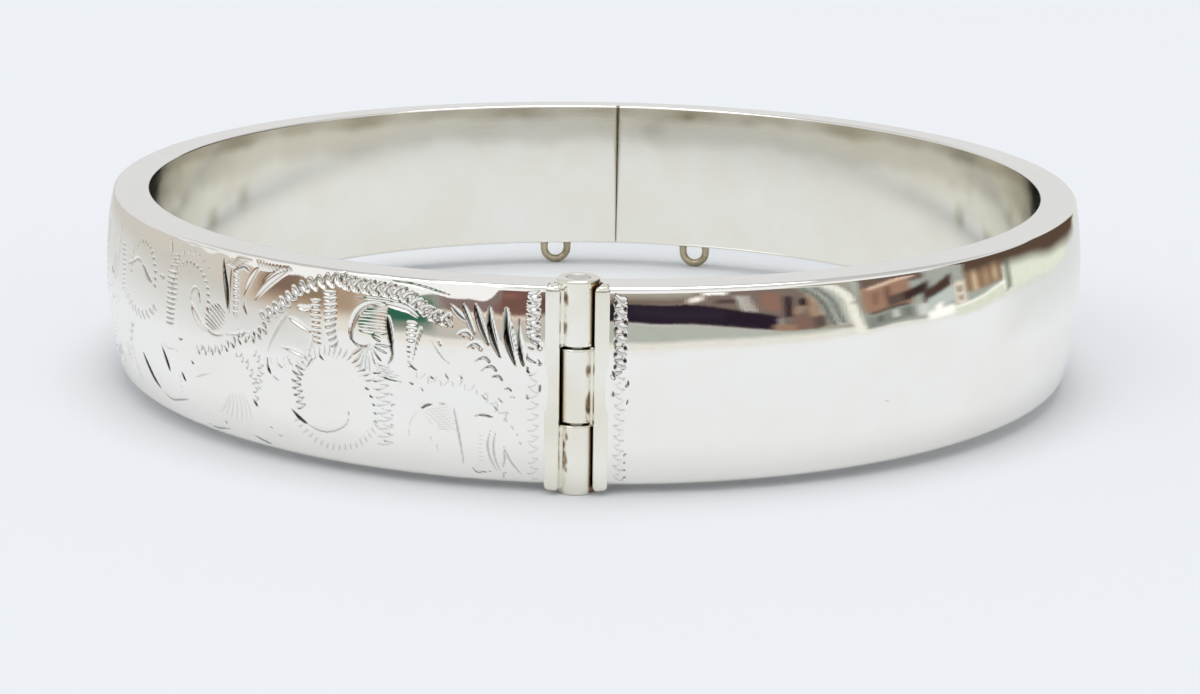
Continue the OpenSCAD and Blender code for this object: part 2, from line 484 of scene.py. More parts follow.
    def lower_leaf(self) -> list[Stroke]:
        """Leaf and lobes under the faint trail."""
        lobes = [
            ((4.4, 2.95), (4.56, 2.2), (4.46, 1.4), (4.12, 0.62)),
            ((4.12, 2.9), (4.25, 2.2), (4.2, 1.4), (3.95, 0.62)),
            ((3.75, 2.1), (3.45, 1.4), (3.2, 1.0), (2.8, 0.5)),
            ((3.72, 1.9), (3.68, 1.3), (3.85, 0.75)),
        ]
        return [
            Stroke(((8.15, 3.8), (7.8, 4.02), (7.4, 4.12)), 0.18, 0.08, 0.35, 0.95, 0.4),
            Stroke(((7.2, 4.18), (6.95, 4.2), (6.7, 4.2)), 0.13, 0.05),
            *ladder([(8.1, 3.7), (7.8, 3.2), (7.3, 2.75)],
                    [(6.4, 4.1), (6.25, 3.4), (6.15, 2.85)], 9, 0.12, 0.03),
            Stroke(((6.35, 4.1), (6.15, 3.0), (5.98, 1.8), (5.9, 0.7)), 0.22, 0.045, 0.4, 0.45),
            Stroke(((8.3, 3.6), (8.75, 2.95), (8.85, 2.2)), 0.1, 0.025),
            Stroke(((7.65, 2.3), (7.6, 2.1), (7.5, 2.0)), 0.1, 0.03),
            Stroke(((7.35, 1.95), (7.3, 1.7), (7.25, 1.45)), 0.12, 0.04),
            Stroke(((5.3, 3.6), (4.9, 3.74), (4.25, 3.66)), 0.17, 0.07, 0.6, 0.9, 0.3),
            *(Stroke(p, 0.2, 0.045, 0.5, 0.45) for p in lobes),
            *ladder([(5.05, 2.6), (5.15, 1.9), (5.1, 1.2)],
                    [(4.75, 2.6), (4.85, 1.9), (4.75, 1.2)], 7, 0.09, 0.018),
            Stroke(((5.5, 0.78), (5.2, 0.5), (4.9, 0.55), (4.45, 0.6)), 0.13, 0.05, 0.5, 0.8),
            Stroke(((3.65, 0.6), (3.8, 0.45), (3.75, 0.2)), 0.11, 0.05, 0.5, 0.7),
        ]

    def great_disc(self) -> list[Stroke]:
        """The plain disc ringed by wriggle cuts, with the crescent cut inside it."""
        return [
            *wriggle([(10.4, 5.7), (10.3, 4.6), (10.2, 3.4), (10.2, 2.4), (10.25, 1.5)],
                     0.44, 0.95, 0.14, 0.035, 0.4),
            *ladder([(11.3, 4.6), (11.0, 4.1), (10.85, 3.5), (10.8, 2.8)],
                    [(11.0, 4.45), (10.75, 3.95), (10.65, 3.4), (10.62, 2.7)], 5, 0.15, 0.06, 0, 0.2, 0.9),
            *ladder([(9.6, 4.4), (9.55, 3.5), (9.7, 2.6), (10.1, 1.7)],
                    [(9.85, 4.3), (9.85, 3.4), (9.95, 2.5), (10.35, 1.65)], 6, 0.13, 0.05, 0, 0.7, 0.7),
            *ladder([(10.7, 5.95), (10.6, 5.3)], [(9.7, 5.75), (8.95, 5.1)], 5, 0.13, 0.035, 0, 0.5, 0.35),
            *wriggle([(15.2, 5.2), (15.55, 4.5), (15.5, 3.7), (15.3, 2.85)], 0.38, 0.72, 0.17, 0.06, 0.6),
            *ring((13.2, 3.9), 2.0, 2.75, 28, 150, 17, 0.14, 0.04, 0.4),
            *ring((13.4, 3.9), 2.75, 3.2, 205, 320, 17, 0.15, 0.03, 0.4),
            Stroke(((16.05, 2.7), (15.7, 2.35), (15.35, 2.12), (15.0, 1.98)), 0.26, 0.1, 0.55, 0.95, 0.5),
            Stroke(((15.0, 1.97), (14.4, 1.76), (13.7, 1.76), (13.0, 2.02), (12.45, 2.5), (12.3, 3.3)),
                   0.13, 0.045, 0.35, 0.7),
            Stroke(((14.9, 5.1), (14.6, 5.6), (14.3, 5.75)), 0.14, 0.05, 0.5, 0.8),
            Stroke(((14.05, 6.1), (13.9, 5.85), (13.75, 5.7)), 0.14, 0.05, 0.5, 0.8),
        ]

    def bracket(self) -> list[Stroke]:
        """Hatched stem and bright leaves between the disc and the second scroll."""
        return [
            *ladder([(14.75, 8.7), (14.6, 7.7), (14.5, 6.7)], [(14.05, 8.8), (13.95, 7.7), (13.85, 6.6)],
                    9, 0.14, 0.04, 0, 0.5, 0.25),
            Stroke(((15.5, 8.3), (15.0, 8.3), (14.5, 8.45)), 0.26, 0.08, 0.4, 0.1, -0.4),
            Stroke(((16.0, 7.68), (15.4, 7.48), (14.9, 7.25), (14.5, 7.1)), 0.3, 0.08, 0.4, 0.1, -0.4),
            Stroke(((14.6, 7.3), (14.45, 6.8), (14.65, 6.1), (14.8, 5.7)), 0.12, 0.04, 0.5, 0.4),
            Stroke(((16.95, 6.05), (16.0, 6.0), (15.4, 5.9), (14.9, 5.72)), 0.3, 0.08, 0.75, 0.0, -0.5),
            Stroke(((16.2, 7.85), (16.7, 7.15), (17.2, 6.3), (17.5, 5.5)), 0.2, 0.06, 0.4, 0.35),
            Stroke(((17.55, 5.5), (17.5, 5.1), (17.5, 4.75), (17.3, 4.4)), 0.2, 0.08, 0.75, 0.95, 0.3),
            Stroke(((17.25, 4.38), (17.0, 4.25), (16.7, 4.08)), 0.1, 0.04, 0.5, 0.7),
            Stroke(((16.85, 5.15), (16.6, 4.95), (16.35, 4.85)), 0.12, 0.035, 0.5, 0.6),
            Stroke(((16.15, 5.6), (15.95, 5.25), (15.7, 5.1)), 0.1, 0.03, 0.5, 0.6),
            *ladder([(17.2, 5.55), (16.6, 5.6), (16.0, 5.7)],
                    [(17.3, 4.75), (16.4, 4.6), (15.8, 5.0)], 4, 0.09, 0.02),
        ]

    def rim_leaf(self) -> list[Stroke]:
        """Leaf under the upper rim, with hatching beside it, the long dark cut and its row of beads."""
        return [
            Stroke(((19.3, 8.3), (18.95, 9.15), (18.35, 10.05)), 0.28, 0.075, 0.5, 0.15, -0.2),
            Stroke(((18.5, 8.2), (17.7, 9.05), (16.8, 9.75), (16.1, 10.2)), 0.3, 0.075, 0.5, 0.15, -0.2),
            Stroke(((18.1, 9.1), (17.4, 9.75), (16.5, 10.3)), 0.12, 0.04),
            *ladder([(18.7, 10.25), (17.5, 10.25), (16.5, 10.25)],
                    [(18.3, 9.9), (17.2, 9.85), (16.1, 10.0)],
                    10, 0.16, 0.04, 0, 0.5, 0.3),
            *ladder([(21.0, 9.8), (20.7, 10.0), (20.3, 10.22)], [(19.7, 9.72), (19.3, 9.95), (18.9, 10.2)],
                    5, 0.13, 0.03, 0, 0.5, 0.35),
            Stroke(((21.2, 10.05), (20.95, 9.2), (20.68, 8.35), (20.5, 7.35)), 0.34, 0.12, 0.55, 0.97, 0.3),
            Stroke(((20.45, 9.9), (20.4, 8.6), (20.42, 7.2)), 0.12, 0.035, 0.5, 0.4),
            *ladder([(20.3, 9.55), (20.2, 8.5), (20.12, 7.35)], [(19.8, 9.35), (19.72, 8.4), (19.72, 7.3)],
                    8, 0.32, 0.1, 0.1, 0.7, 0.3),
            Stroke(((20.3, 9.5), (19.9, 9.68), (19.5, 9.82), (19.0, 9.58)), 0.16, 0.07, 0.55, 0.9, 0.3),
            Stroke(((19.2, 8.2), (19.25, 7.8), (19.0, 7.35)), 0.16, 0.05, 0.5, 0.5),
        ]

    def hatched_leaf(self) -> list[Stroke]:
        """Leaf full of slanted hatching, with the wriggle trails that meet under it."""
        return [
            *ladder([(22.5, 6.35), (22.55, 6.9), (22.2, 7.4), (21.5, 7.62)],
                    [(21.6, 6.05), (21.1, 6.2), (20.8, 6.6), (20.7, 7.1)], 8, 0.2, 0.06, 0, 0.5, 0.45),
            Stroke(((22.3, 5.95), (21.6, 5.8), (20.8, 5.95)), 0.14, 0.05, 0.4, 0.6),
            Stroke(((20.8, 6.0), (19.9, 6.12), (19.2, 6.35), (18.6, 6.45)), 0.1, 0.04),
            *wriggle([(23.4, 4.6), (22.3, 4.8), (21.2, 5.05), (20.4, 5.45), (19.6, 5.9)],
                     0.62, 0.6, 0.18, 0.05, 0.7),
            *wriggle([(19.8, 6.3), (18.9, 6.1), (18.2, 6.4), (17.6, 6.95)], 0.5, 0.62, 0.2, 0.065, 0.6),
            *wriggle([(20.0, 5.2), (19.1, 4.7), (18.6, 3.9), (18.5, 3.1), (18.65, 2.4)],
                     0.5, 0.5, 0.15, 0.045, 0.55),
            *wriggle([(18.5, 5.5), (18.05, 4.9), (18.1, 4.2), (18.3, 3.5)], 0.46, 0.5, 0.13, 0.035, 0.5),
            Stroke(((18.75, 2.6), (18.6, 2.48), (18.5, 2.35)), 0.2, 0.08, 0.5, 0.95, 0.5),
            *ladder([(21.7, 1.35), (20.8, 1.15), (19.9, 1.15), (19.1, 1.45)],
                    [(20.75, 2.55), (20.4, 2.85), (19.9, 2.9), (19.45, 2.75)], 7, 0.26, 0.04, 0.05),
            Stroke(((23.0, 0.36), (22.2, 0.33), (21.6, 0.42), (21.0, 0.5)), 0.16, 0.05, 0.5, 0.8),
            Stroke(((19.1, 0.58), (18.4, 0.4), (17.6, 0.25)), 0.16, 0.045, 0.5, 0.8),
            Stroke(((17.2, 0.95), (17.05, 0.93), (16.9, 0.97)), 0.12, 0.045, 0.5, 0.8),
            Stroke(((17.75, 1.36), (17.62, 1.3), (17.5, 1.35)), 0.12, 0.045, 0.5, 0.8),
            Stroke(((21.4, 0.92), (21.28, 0.82), (21.15, 0.8)), 0.14, 0.045, 0.5, 0.8),
        ]

    def second_disc(self) -> list[Stroke]:
        """Smaller disc with a comma leaf, and the column of dashes behind it."""
        return [
            *ring((24.0, 7.5), 1.62, 1.95, -20, 190, 19, 0.17, 0.055, 0.75),
            *ring((24.0, 7.5), 2.25, 2.5, 30, 130, 9, 0.14, 0.04, 0.6),
            Stroke(((23.85, 7.3), (23.75, 7.85), (23.4, 8.05), (23.05, 7.8), (22.9, 7.2)),
                   0.16, 0.05, 0.5, 0.5),
            Stroke(((23.75, 7.25), (23.5, 6.85), (23.0, 6.35), (22.4, 6.05), (21.9, 5.98)),
                   0.5, 0.1, 0.45, 0.15, -0.4),
            *ladder([(26.35, 8.45), (26.4, 7.2), (26.5, 5.6)], [(25.15, 8.55), (25.2, 7.2), (25.45, 5.7)],
                    11, 0.2, 0.06, 0.05, 0.5, 0.5),
            *ladder([(25.9, 9.4), (26.1, 8.8)], [(25.1, 9.5), (25.1, 8.9)], 4, 0.15, 0.045, 0, 0.5, 0.4),
            Stroke(((26.45, 10.2), (26.2, 9.8), (26.1, 9.3)), 0.2, 0.07, 0.5, 0.6),
            Stroke(((27.2, 8.05), (26.95, 8.0), (26.65, 8.0)), 0.26, 0.07, 0.5, 0.5),
            Stroke(((25.1, 4.95), (24.85, 4.9), (24.6, 4.98)), 0.16, 0.05, 0.5, 0.9),
            Stroke(((23.95, 3.85), (23.8, 3.8), (23.65, 3.65)), 0.18, 0.06, 0.5, 0.9),
            *ladder([(23.3, 5.0), (22.1, 5.1), (21.3, 5.2)],
                    [(23.2, 4.7), (22.1, 4.75), (21.4, 4.85)], 4, 0.16, 0.05),
        ]

    def third_disc(self) -> list[Stroke]:
        """Disc at the turn of the band, its crescent, and the deep leaf cuts below it."""
        return [
            *ring((29.6, 7.7), 1.6, 1.95, -10, 190, 17, 0.17, 0.055, 0.75),
            Stroke(((32.1, 7.7), (31.2, 8.05), (30.4, 8.35), (29.7, 8.25)), 0.24, 0.07, 0.5, 0.4),
            Stroke(((29.7, 8.2), (29.3, 7.95), (28.8, 7.6), (28.2, 7.45)), 0.34, 0.1, 0.5, 0.6),
            Stroke(((27.15, 4.1), (26.75, 3.4), (26.35, 2.65)), 0.36, 0.12, 0.6, 0.95, 0.4),
            Stroke(((25.05, 2.98), (24.9, 2.7), (24.68, 2.45)), 0.24, 0.09, 0.5, 0.95, 0.4),
            Stroke(((29.95, 2.95), (29.3, 2.2), (28.7, 1.65), (27.9, 1.25)), 0.42, 0.13, 0.4, 0.95, 0.4),
            Stroke(((27.9, 1.25), (26.8, 0.95), (25.8, 1.15), (24.6, 1.45)), 0.18, 0.06, 0.6, 0.8),
            *ladder([(25.5, 2.65), (25.5, 1.8)], [(25.1, 2.65), (25.05, 1.8)], 4, 0.11, 0.045),
            Stroke(((23.6, 3.0), (22.9, 3.28), (22.0, 3.55)), 0.15, 0.06, 0.3),
            Stroke(((27.1, 4.25), (26.3, 4.1), (25.6, 4.17), (25.0, 4.08)), 0.11, 0.04),
            *wriggle([(27.6, 6.2), (28.6, 5.6), (29.8, 5.3), (31.2, 5.5), (32.4, 6.1)],
                     0.6, 0.6, 0.17, 0.055),
            *ladder([(33.6, 8.6), (33.2, 7.4), (33.3, 6.0)],
                    [(32.6, 8.7), (32.3, 7.5), (32.5, 6.3)], 10, 0.16, 0.055),
            *wriggle([(30.8, 1.0), (31.6, 2.0), (31.9, 3.2), (31.3, 4.4)], 0.52, 0.6, 0.17, 0.055),
            *ladder([(33.6, 1.2), (32.9, 0.9), (32.3, 1.0)],
                    [(33.0, 2.9), (32.7, 3.1), (32.4, 2.9)], 6, 0.24, 0.05),
        ]

    def strokes(self) -> list[Stroke]:
        """All the cuts of the front third of the engraved half."""
        return [
            *self.hinge_border(), *self.fan(), *self.trailing_hooks(), *self.big_arc(), *self.c_scroll(),
            *self.faint_trail(), *self.lower_leaf(), *self.great_disc(), *self.bracket(), *self.rim_leaf(),
            *self.hatched_leaf(), *self.second_disc(), *self.third_disc(),
        ]


@dataclass(frozen=True)
class Placement:
    """Where a copy of the ornament lies: u' = offset + along * u, and v turned over if it is flipped."""

    offset: float
    along: int
    flipped: bool
    first: float
    last: float

    def lay(self, strokes: list[Stroke], height: float) -> list[Stroke]:
        """Moves the cuts whose middle lies between first and last, measured before the move.

        Args:
            strokes: cuts of the ornament.
            height: height of the band, about whose middle a flipped copy is turned over.

        Returns:
            The moved cuts.
        """
        laid = []
        for stroke in strokes:
            path = np.asarray(stroke.path, float)
            if not self.first <= path[:, 0].mean() < self.last:
                continue
            v = height - path[:, 1] if self.flipped else path[:, 1]
            laid.append(replace(stroke, path=np.stack([self.offset + self.along * path[:, 0], v], -1)))
        return laid


class Engraver:
    """Cuts strokes into a grid of the unrolled face: keeps the depth taken away, and the tarnish and painted
    shade left.
    """

    wall_blend: float = 0.4

    def __init__(self, u: np.ndarray, v: np.ndarray) -> None:
        """Starts with an uncut face.

        Args:
            u: rising distances along the face.
            v: rising heights up the face.
        """
        self.u = u
        self.v = v
        self.depth = np.zeros((len(u), len(v)))
        self.stain_and_shade = np.zeros((len(u), len(v)))

    def carve(self, stroke: Stroke) -> None:
        """Cuts one groove with two flat walls, where that is deeper than what is there.

        With s the distance from its middle, -1 at the left edge and 1 at the right one, and k its skew,
        the depth is depth * swell(t) * min((1 + s) / (1 + k), (1 - s) / (1 - k)). swell(t) is the sine
        of half a turn, with t bent so that it peaks at the stroke's own swell.

        Args:
            stroke: the cut.
        """
        line = smooth_line(stroke.path, 0.12)
        reach = stroke.width / 2
        low, high = line.min(0) - reach, line.max(0) + reach
        i0, i1 = np.searchsorted(self.u, [low[0], high[0]])
        j0, j1 = np.searchsorted(self.v, [low[1], high[1]])
        if i0 == i1 or j0 == j1:
            return
        start, step = line[:-1], np.diff(line, axis=0)
        size = np.linalg.norm(step, axis=1)
        run = np.concatenate([[0], np.cumsum(size)])
        du = self.u[i0:i1, None, None] - start[:, 0]
        dv = self.v[None, j0:j1, None] - start[:, 1]
        share = np.clip((du * step[:, 0] + dv * step[:, 1]) / size**2, 0, 1)
        distance = np.hypot(du - share * step[:, 0], dv - share * step[:, 1])
        near = distance.argmin(-1)[..., None]
        aside = du * step[:, 1] - dv * step[:, 0]
        distance, aside, t = (np.take_along_axis(x, near, -1)[..., 0] for x in (
            distance, aside, (run[:-1] + share * size) / run[-1]))
        swell = np.sin(np.pi * np.clip(t, 0, 1) ** (math.log(0.5) / math.log(stroke.swell))) ** 0.7 + 0.02
        s, k = np.copysign(distance, aside) / (reach * swell), stroke.skew
        level = np.clip(np.minimum((1 + s) / (1 + k), (1 - s) / (1 - k)), 0, 1)
        # the steep left wall is darkened: some tarnish, and painted shade for the dark that such a wall
        # reflects
        left_wall = np.clip(0.5 - (s - k) / self.wall_blend, 0, 1)
        tarnish = stroke.dark * np.clip(3 * level, 0, 1) * left_wall
        for grid, value in ((self.depth, stroke.depth * swell * level), (self.stain_and_shade, tarnish)):
            here = grid[i0:i1, j0:j1]
            np.maximum(here, value, out=here)


def polish_wave(u: np.ndarray, v: np.ndarray, size: float) -> np.ndarray:
    """Slow hills that hand polishing leaves: a sum of products of sines whose waves are 3 to 17 mm long.

    Args:
        u: distances along the face.
        v: heights, of a shape that fits u.
        size: height of the hills.

    Returns:
        Height of the surface above its true form.
    """
    rng = np.random.default_rng(SEED)
    wave = np.zeros(np.broadcast(u, v).shape)
    for long_u, long_v in ((17.0, 9.0), (11.0, 14.0), (7.3, 6.1), (4.6, 9.7), (3.1, 5.3)):
        a, b = rng.uniform(0, 2 * math.pi, 2)
        hills = np.sin(2 * math.pi * u / long_u + a) * np.sin(2 * math.pi * v / long_v + b)
        wave = wave + hills * long_u / 17
    return wave * size / 2


@dataclass(frozen=True)
class Loft:
    """A surface through rings of points, each ring closed: array of shape (rings, points, 3).

    A closed loft joins its last ring to its first. An open one is closed by a flat face at each end.
    """

    rings: np.ndarray
    closed: bool = False
    sharp: tuple = ()
    zone: np.ndarray | None = None
    stain_and_shade: np.ndarray | None = None
    coords: np.ndarray | None = None

    def faces(self) -> np.ndarray:
        """Corners of the quads: ring i to i + 1 and point j to j + 1."""
        count, size = self.rings.shape[:2]
        i = np.arange(count if self.closed else count - 1)[:, None]
        j = np.arange(size)[None, :]
        k, m = (i + 1) % count, (j + 1) % size
        return np.stack([i * size + j, i * size + m, k * size + m, k * size + j], -1).reshape(-1, 4)

    def volume(self, quads: np.ndarray, caps: list) -> float:
        """Signed volume: the sum over triangles of corner . (corner x corner) / 6.

        Args:
            quads: corners of the quads.
            caps: corners of the two end faces, or none.

        Returns:
            A positive number if the faces point outwards.
        """
        p = self.rings.reshape(-1, 3)
        triangles = [quads[:, [0, 1, 2]], quads[:, [0, 2, 3]]]
        triangles += [np.stack([np.full(len(c) - 2, c[0]), c[1:-1], c[2:]], -1) for c in caps]
        a, b, c = (p[np.concatenate(triangles)[:, n]] for n in range(3))
        return float((a * np.cross(b, c)).sum() / 6)

    def piece(self, name: str, resting: Resting, materials: list) -> bpy.types.Object:
        """Makes the object: faces outwards, smooth but for the sharp rings, with its attributes.

        Args:
            name: name of the piece.
            resting: how the upright band leans.
            materials: material of each zone, in order.

        Returns:
            The new object.
        """
        count, size = self.rings.shape[:2]
        quads = self.faces()
        last = (count - 1) * size
        caps = [] if self.closed else [np.arange(size)[::-1], last + np.arange(size)]
        if self.volume(quads, caps) < 0:
            quads, caps = quads[:, ::-1], [c[::-1] for c in caps]
        corners = np.concatenate([quads.ravel(), *caps]).astype(np.int32)
        starts = np.concatenate([np.arange(len(quads)) * 4, len(quads) * 4 + np.arange(len(caps)) * size])
        mesh = bpy.data.meshes.new(name)
        mesh.vertices.add(count * size)
        mesh.vertices.foreach_set("co", resting.place(self.rings).astype(np.float32).ravel())
        mesh.loops.add(len(corners))
        mesh.loops.foreach_set("vertex_index", corners)
        mesh.polygons.add(len(starts))
        mesh.polygons.foreach_set("loop_start", starts.astype(np.int32))
        zones = np.zeros(len(starts), np.int32) if self.zone is None else np.concatenate(
            [self.zone.ravel(), np.full(len(caps), Zone.END.value)]).astype(np.int32)
        mesh.polygons.foreach_set("material_index", np.minimum(zones, len(materials) - 1))
        mesh.update(calc_edges=True)
        mesh.polygons.foreach_set("use_smooth", np.ones(len(starts), bool))
        edges = np.zeros(len(mesh.edges) * 2, np.int32)
        mesh.edges.foreach_get("vertices", edges)
        ring_of = edges.reshape(-1, 2) // size
        keen = [r % count for r in (*self.sharp, *(() if self.closed else (0, -1)))]
        in_ring = ring_of[:, 0] == ring_of[:, 1]
        mesh.edges.foreach_set("use_edge_sharp", in_ring & np.isin(ring_of[:, 0], keen))
        # per-point darkening: tarnish, and painted shade in cuts, pits, gaps and hollows
        stain_and_shade = np.zeros(count * size, np.float32) if self.stain_and_shade is None else self.stain_and_shade.astype(np.float32)
        mesh.attributes.new("stain_and_shade", "FLOAT", "POINT").data.foreach_set("value", stain_and_shade.ravel())
        if self.coords is not None:
            mesh.attributes.new("band_mm", "FLOAT_VECTOR", "POINT").data.foreach_set(
                "vector", self.coords.astype(np.float32).ravel())
        for material in materials:
            mesh.materials.append(material)
        piece = bpy.data.objects.new(name, mesh)
        bpy.context.scene.collection.objects.link(piece)
        LOG.info("%s: %d triangles", name, len(quads) * 2 + len(caps) * (size - 2))
        return piece


def linear(code: str) -> tuple[float, float, float, float]:
    """Turns an sRGB hex colour to linear: ((c + 0.055) / 1.055) ** 2.4, or c / 12.92 when dark.

    Args:
        code: six hex digits.

    Returns:
        Linear red, green and blue, and 1.
    """
    parts = [int(code[i:i + 2], 16) / 255 for i in (0, 2, 4)]
    red, green, blue = (c / 12.92 if c <= 0.04045 else ((c + 0.055) / 1.055) ** 2.4 for c in parts)
    return red, green, blue, 1.0


def add_node(tree: bpy.types.NodeTree, kind: str, settings: dict | None = None,
             inputs: dict | None = None) -> bpy.types.Node:
    """Adds a node with its settings and fills its inputs with values or links.

    Args:
        tree: the node tree.
        kind: the node's type name.
        settings: properties of the node.
        inputs: value or output socket for each input, by its name or number.

    Returns:
        The new node.
    """
    node = tree.nodes.new(kind)
    for key, value in (settings or {}).items():
        setattr(node, key, value)
    for key, value in (inputs or {}).items():
        if isinstance(value, bpy.types.NodeSocket):
            tree.links.new(value, node.inputs[key])
        else:
            node.inputs[key].default_value = value
    return node


def per_mm(size: float) -> float:
    """Scale of a pattern on coordinates in metres, from the real size of one of its grains in mm."""
    return 1 / (size * MM)


@dataclass(frozen=True)
class Silver:
    """Sterling silver. Its own colour is a slightly warm white, and each bounce between walls warms it."""

    name: str
    colour: str = "FBF9F4"
    tarnish: str = "EDE6D6"
    tarnish_share: float = 0.25
    roughness: float = 0.015
    roughness_spread: float = 0.025
    scratch: float = 0.02
    grime_and_shade: str = ""
    lines: bool = False

    def material(self) -> bpy.types.Material:
        """Metal whose tarnish comes in 6 mm clouds, with hair scratches along the band or slantwise up it.

        Returns:
            The material.
        """
        made = bpy.data.materials.new(self.name)
        made.use_nodes = True
        tree = made.node_tree
        tree.nodes.clear()
        place = add_node(tree, "ShaderNodeTexCoord").outputs["Object"]
        clouds = add_node(tree, "ShaderNodeTexNoise", {}, {
            "Vector": place, "Scale": per_mm(6), "Detail": 5.0, "Roughness": 0.6})
        stain_and_shade = add_node(tree, "ShaderNodeMapRange", {}, {
            "Value": clouds.outputs["Fac"], "From Min": 0.35, "From Max": 0.75, "To Min": 0.0,
            "To Max": self.tarnish_share})
        colour = add_node(tree, "ShaderNodeMix", {"data_type": "RGBA"}, {
            0: stain_and_shade.outputs["Result"], 6: linear(self.colour), 7: linear(self.tarnish)}).outputs[2]
        smear = add_node(tree, "ShaderNodeTexNoise", {}, {
            "Vector": place, "Scale": per_mm(2.2), "Detail": 6.0, "Roughness": 0.7})
        rough = add_node(tree, "ShaderNodeMapRange", {}, {
            "Value": smear.outputs["Fac"], "From Min": 0.3, "From Max": 0.7,
            "To Min": self.roughness, "To Max": self.roughness + self.roughness_spread}).outputs["Result"]
        if self.lines:
            # band_mm holds millimetres: along the face, up it, and outwards from the inside wall
            source = add_node(tree, "ShaderNodeAttribute", {"attribute_name": "band_mm"}).outputs["Vector"]
            stretch, tilt, grain = (0.04, 1.0, 1.0), (0.0, 0.0, 0.0), 1 / HAIR_MM
        else:
            source = place
            stretch, tilt, grain = (1.0, 1.0, 0.12), (0.3, 0.5, 0.2), per_mm(HAIR_MM)
        turned = add_node(tree, "ShaderNodeMapping", {}, {
            "Vector": source, "Scale": stretch, "Rotation": tilt})
        hairs = add_node(tree, "ShaderNodeTexNoise", {}, {
            "Vector": turned.outputs["Vector"], "Scale": grain, "Detail": 4.0, "Roughness": 0.75})
        bump = add_node(tree, "ShaderNodeBump", {}, {
            "Height": hairs.outputs["Fac"], "Strength": self.scratch, "Distance": 0.05 * MM})
        # mixes in the darkening colour by the per-point attribute: tarnish, and painted shade in cuts, pits,
        # gaps and hollows
        if self.grime_and_shade:
            dirt_and_shade = add_node(tree, "ShaderNodeAttribute", {"attribute_name": "stain_and_shade"}).outputs["Fac"]
            colour = add_node(tree, "ShaderNodeMix", {"data_type": "RGBA"}, {
                0: dirt_and_shade, 6: colour, 7: linear(self.grime_and_shade)}).outputs[2]
        shader = add_node(tree, "ShaderNodeBsdfPrincipled", {}, {
            "Base Color": colour, "Metallic": 1.0, "Roughness": rough, "Normal": bump.outputs["Normal"]})
        add_node(tree, "ShaderNodeOutputMaterial", {}, {"Surface": shader.outputs["BSDF"]})
        return made


class Finishes:
    """The finishes of the bangle, made once."""

    def __init__(self) -> None:
        """Makes each finish's material."""
        # Sterling silver, buffed on a mop with rouge: a true mirror with a few hair scratches from wear.
        # Its near-black colour gives the border's cuts and pits their tarnish and painted shade, and the
        # seat's hollow its painted shade.
        self.mirror = Silver("mirror_polished_sterling", grime_and_shade="1C160F").material()
        # The same sheet after hand engraving: bright cuts, whose steep walls are black with tarnish and
        # painted shade.
        # The seat's hollow beside the hinge gets painted shade in the same colour.
        self.engraved = Silver("hand_engraved_sterling", roughness=0.02, roughness_spread=0.04, scratch=0.03,
                               grime_and_shade="12100C").material()
        # The inside, worn against the skin: softer than a mirror, and the warmest of the surfaces.
        # Its brown colour paints shade, with some tarnish, high on the wall and in the seam's wedge.
        self.inside = Silver("burnished_inside_sterling", "F6F4EC", "E6DEC8", 0.45, 0.07, 0.05, 0.04,
                             grime_and_shade="7A6A45", lines=True).material()
        # The flat rims, filed and then buffed along the band.
        self.rim = Silver("buffed_rim_sterling", roughness=0.12, roughness_spread=0.06, scratch=0.02,
                          lines=True).material()
        # Soldered and filed work at the hinge: rounder, duller and stained by flux.
        # Its brown colour darkens the solder's pits, and paints shade on a knuckle's side in the gap beside
        # a bearer.
        self.soldered = Silver("soldered_filed_sterling", "F8F6EE", "DACDAA", 0.55, 0.12, 0.08, 0.1,
                               grime_and_shade="8A6B48").material()
        # End plates and the tongue, sawn and rubbed down on emery, never polished.
        self.satin = Silver("emeried_sterling", "EEEAE0", "C8BB98", 0.5, 0.24, 0.1, 0.2).material()
        # Drawn wire of the pin, its ends filed flush and grey from handling.
        self.pin = Silver("filed_pin_sterling", "DEDCD6", "B9B3A2", 0.5, 0.22, 0.1, 0.12).material()
        # Drawn wire of the loops, never polished since they were soldered: yellow-brown with tarnish.
        self.wire = Silver("drawn_wire_sterling", "C9BFA4", "7C6C48", 0.85, 0.22, 0.12, 0.12).material()

    def band(self, half: Half) -> list:
        """Materials of a half's zones, in the order of Zone.

        Args:
            half: which half of the band.

        Returns:
            The materials.
        """
        face = self.engraved if half is Half.ENGRAVED else self.mirror
        return [self.inside, self.rim, face, self.satin]


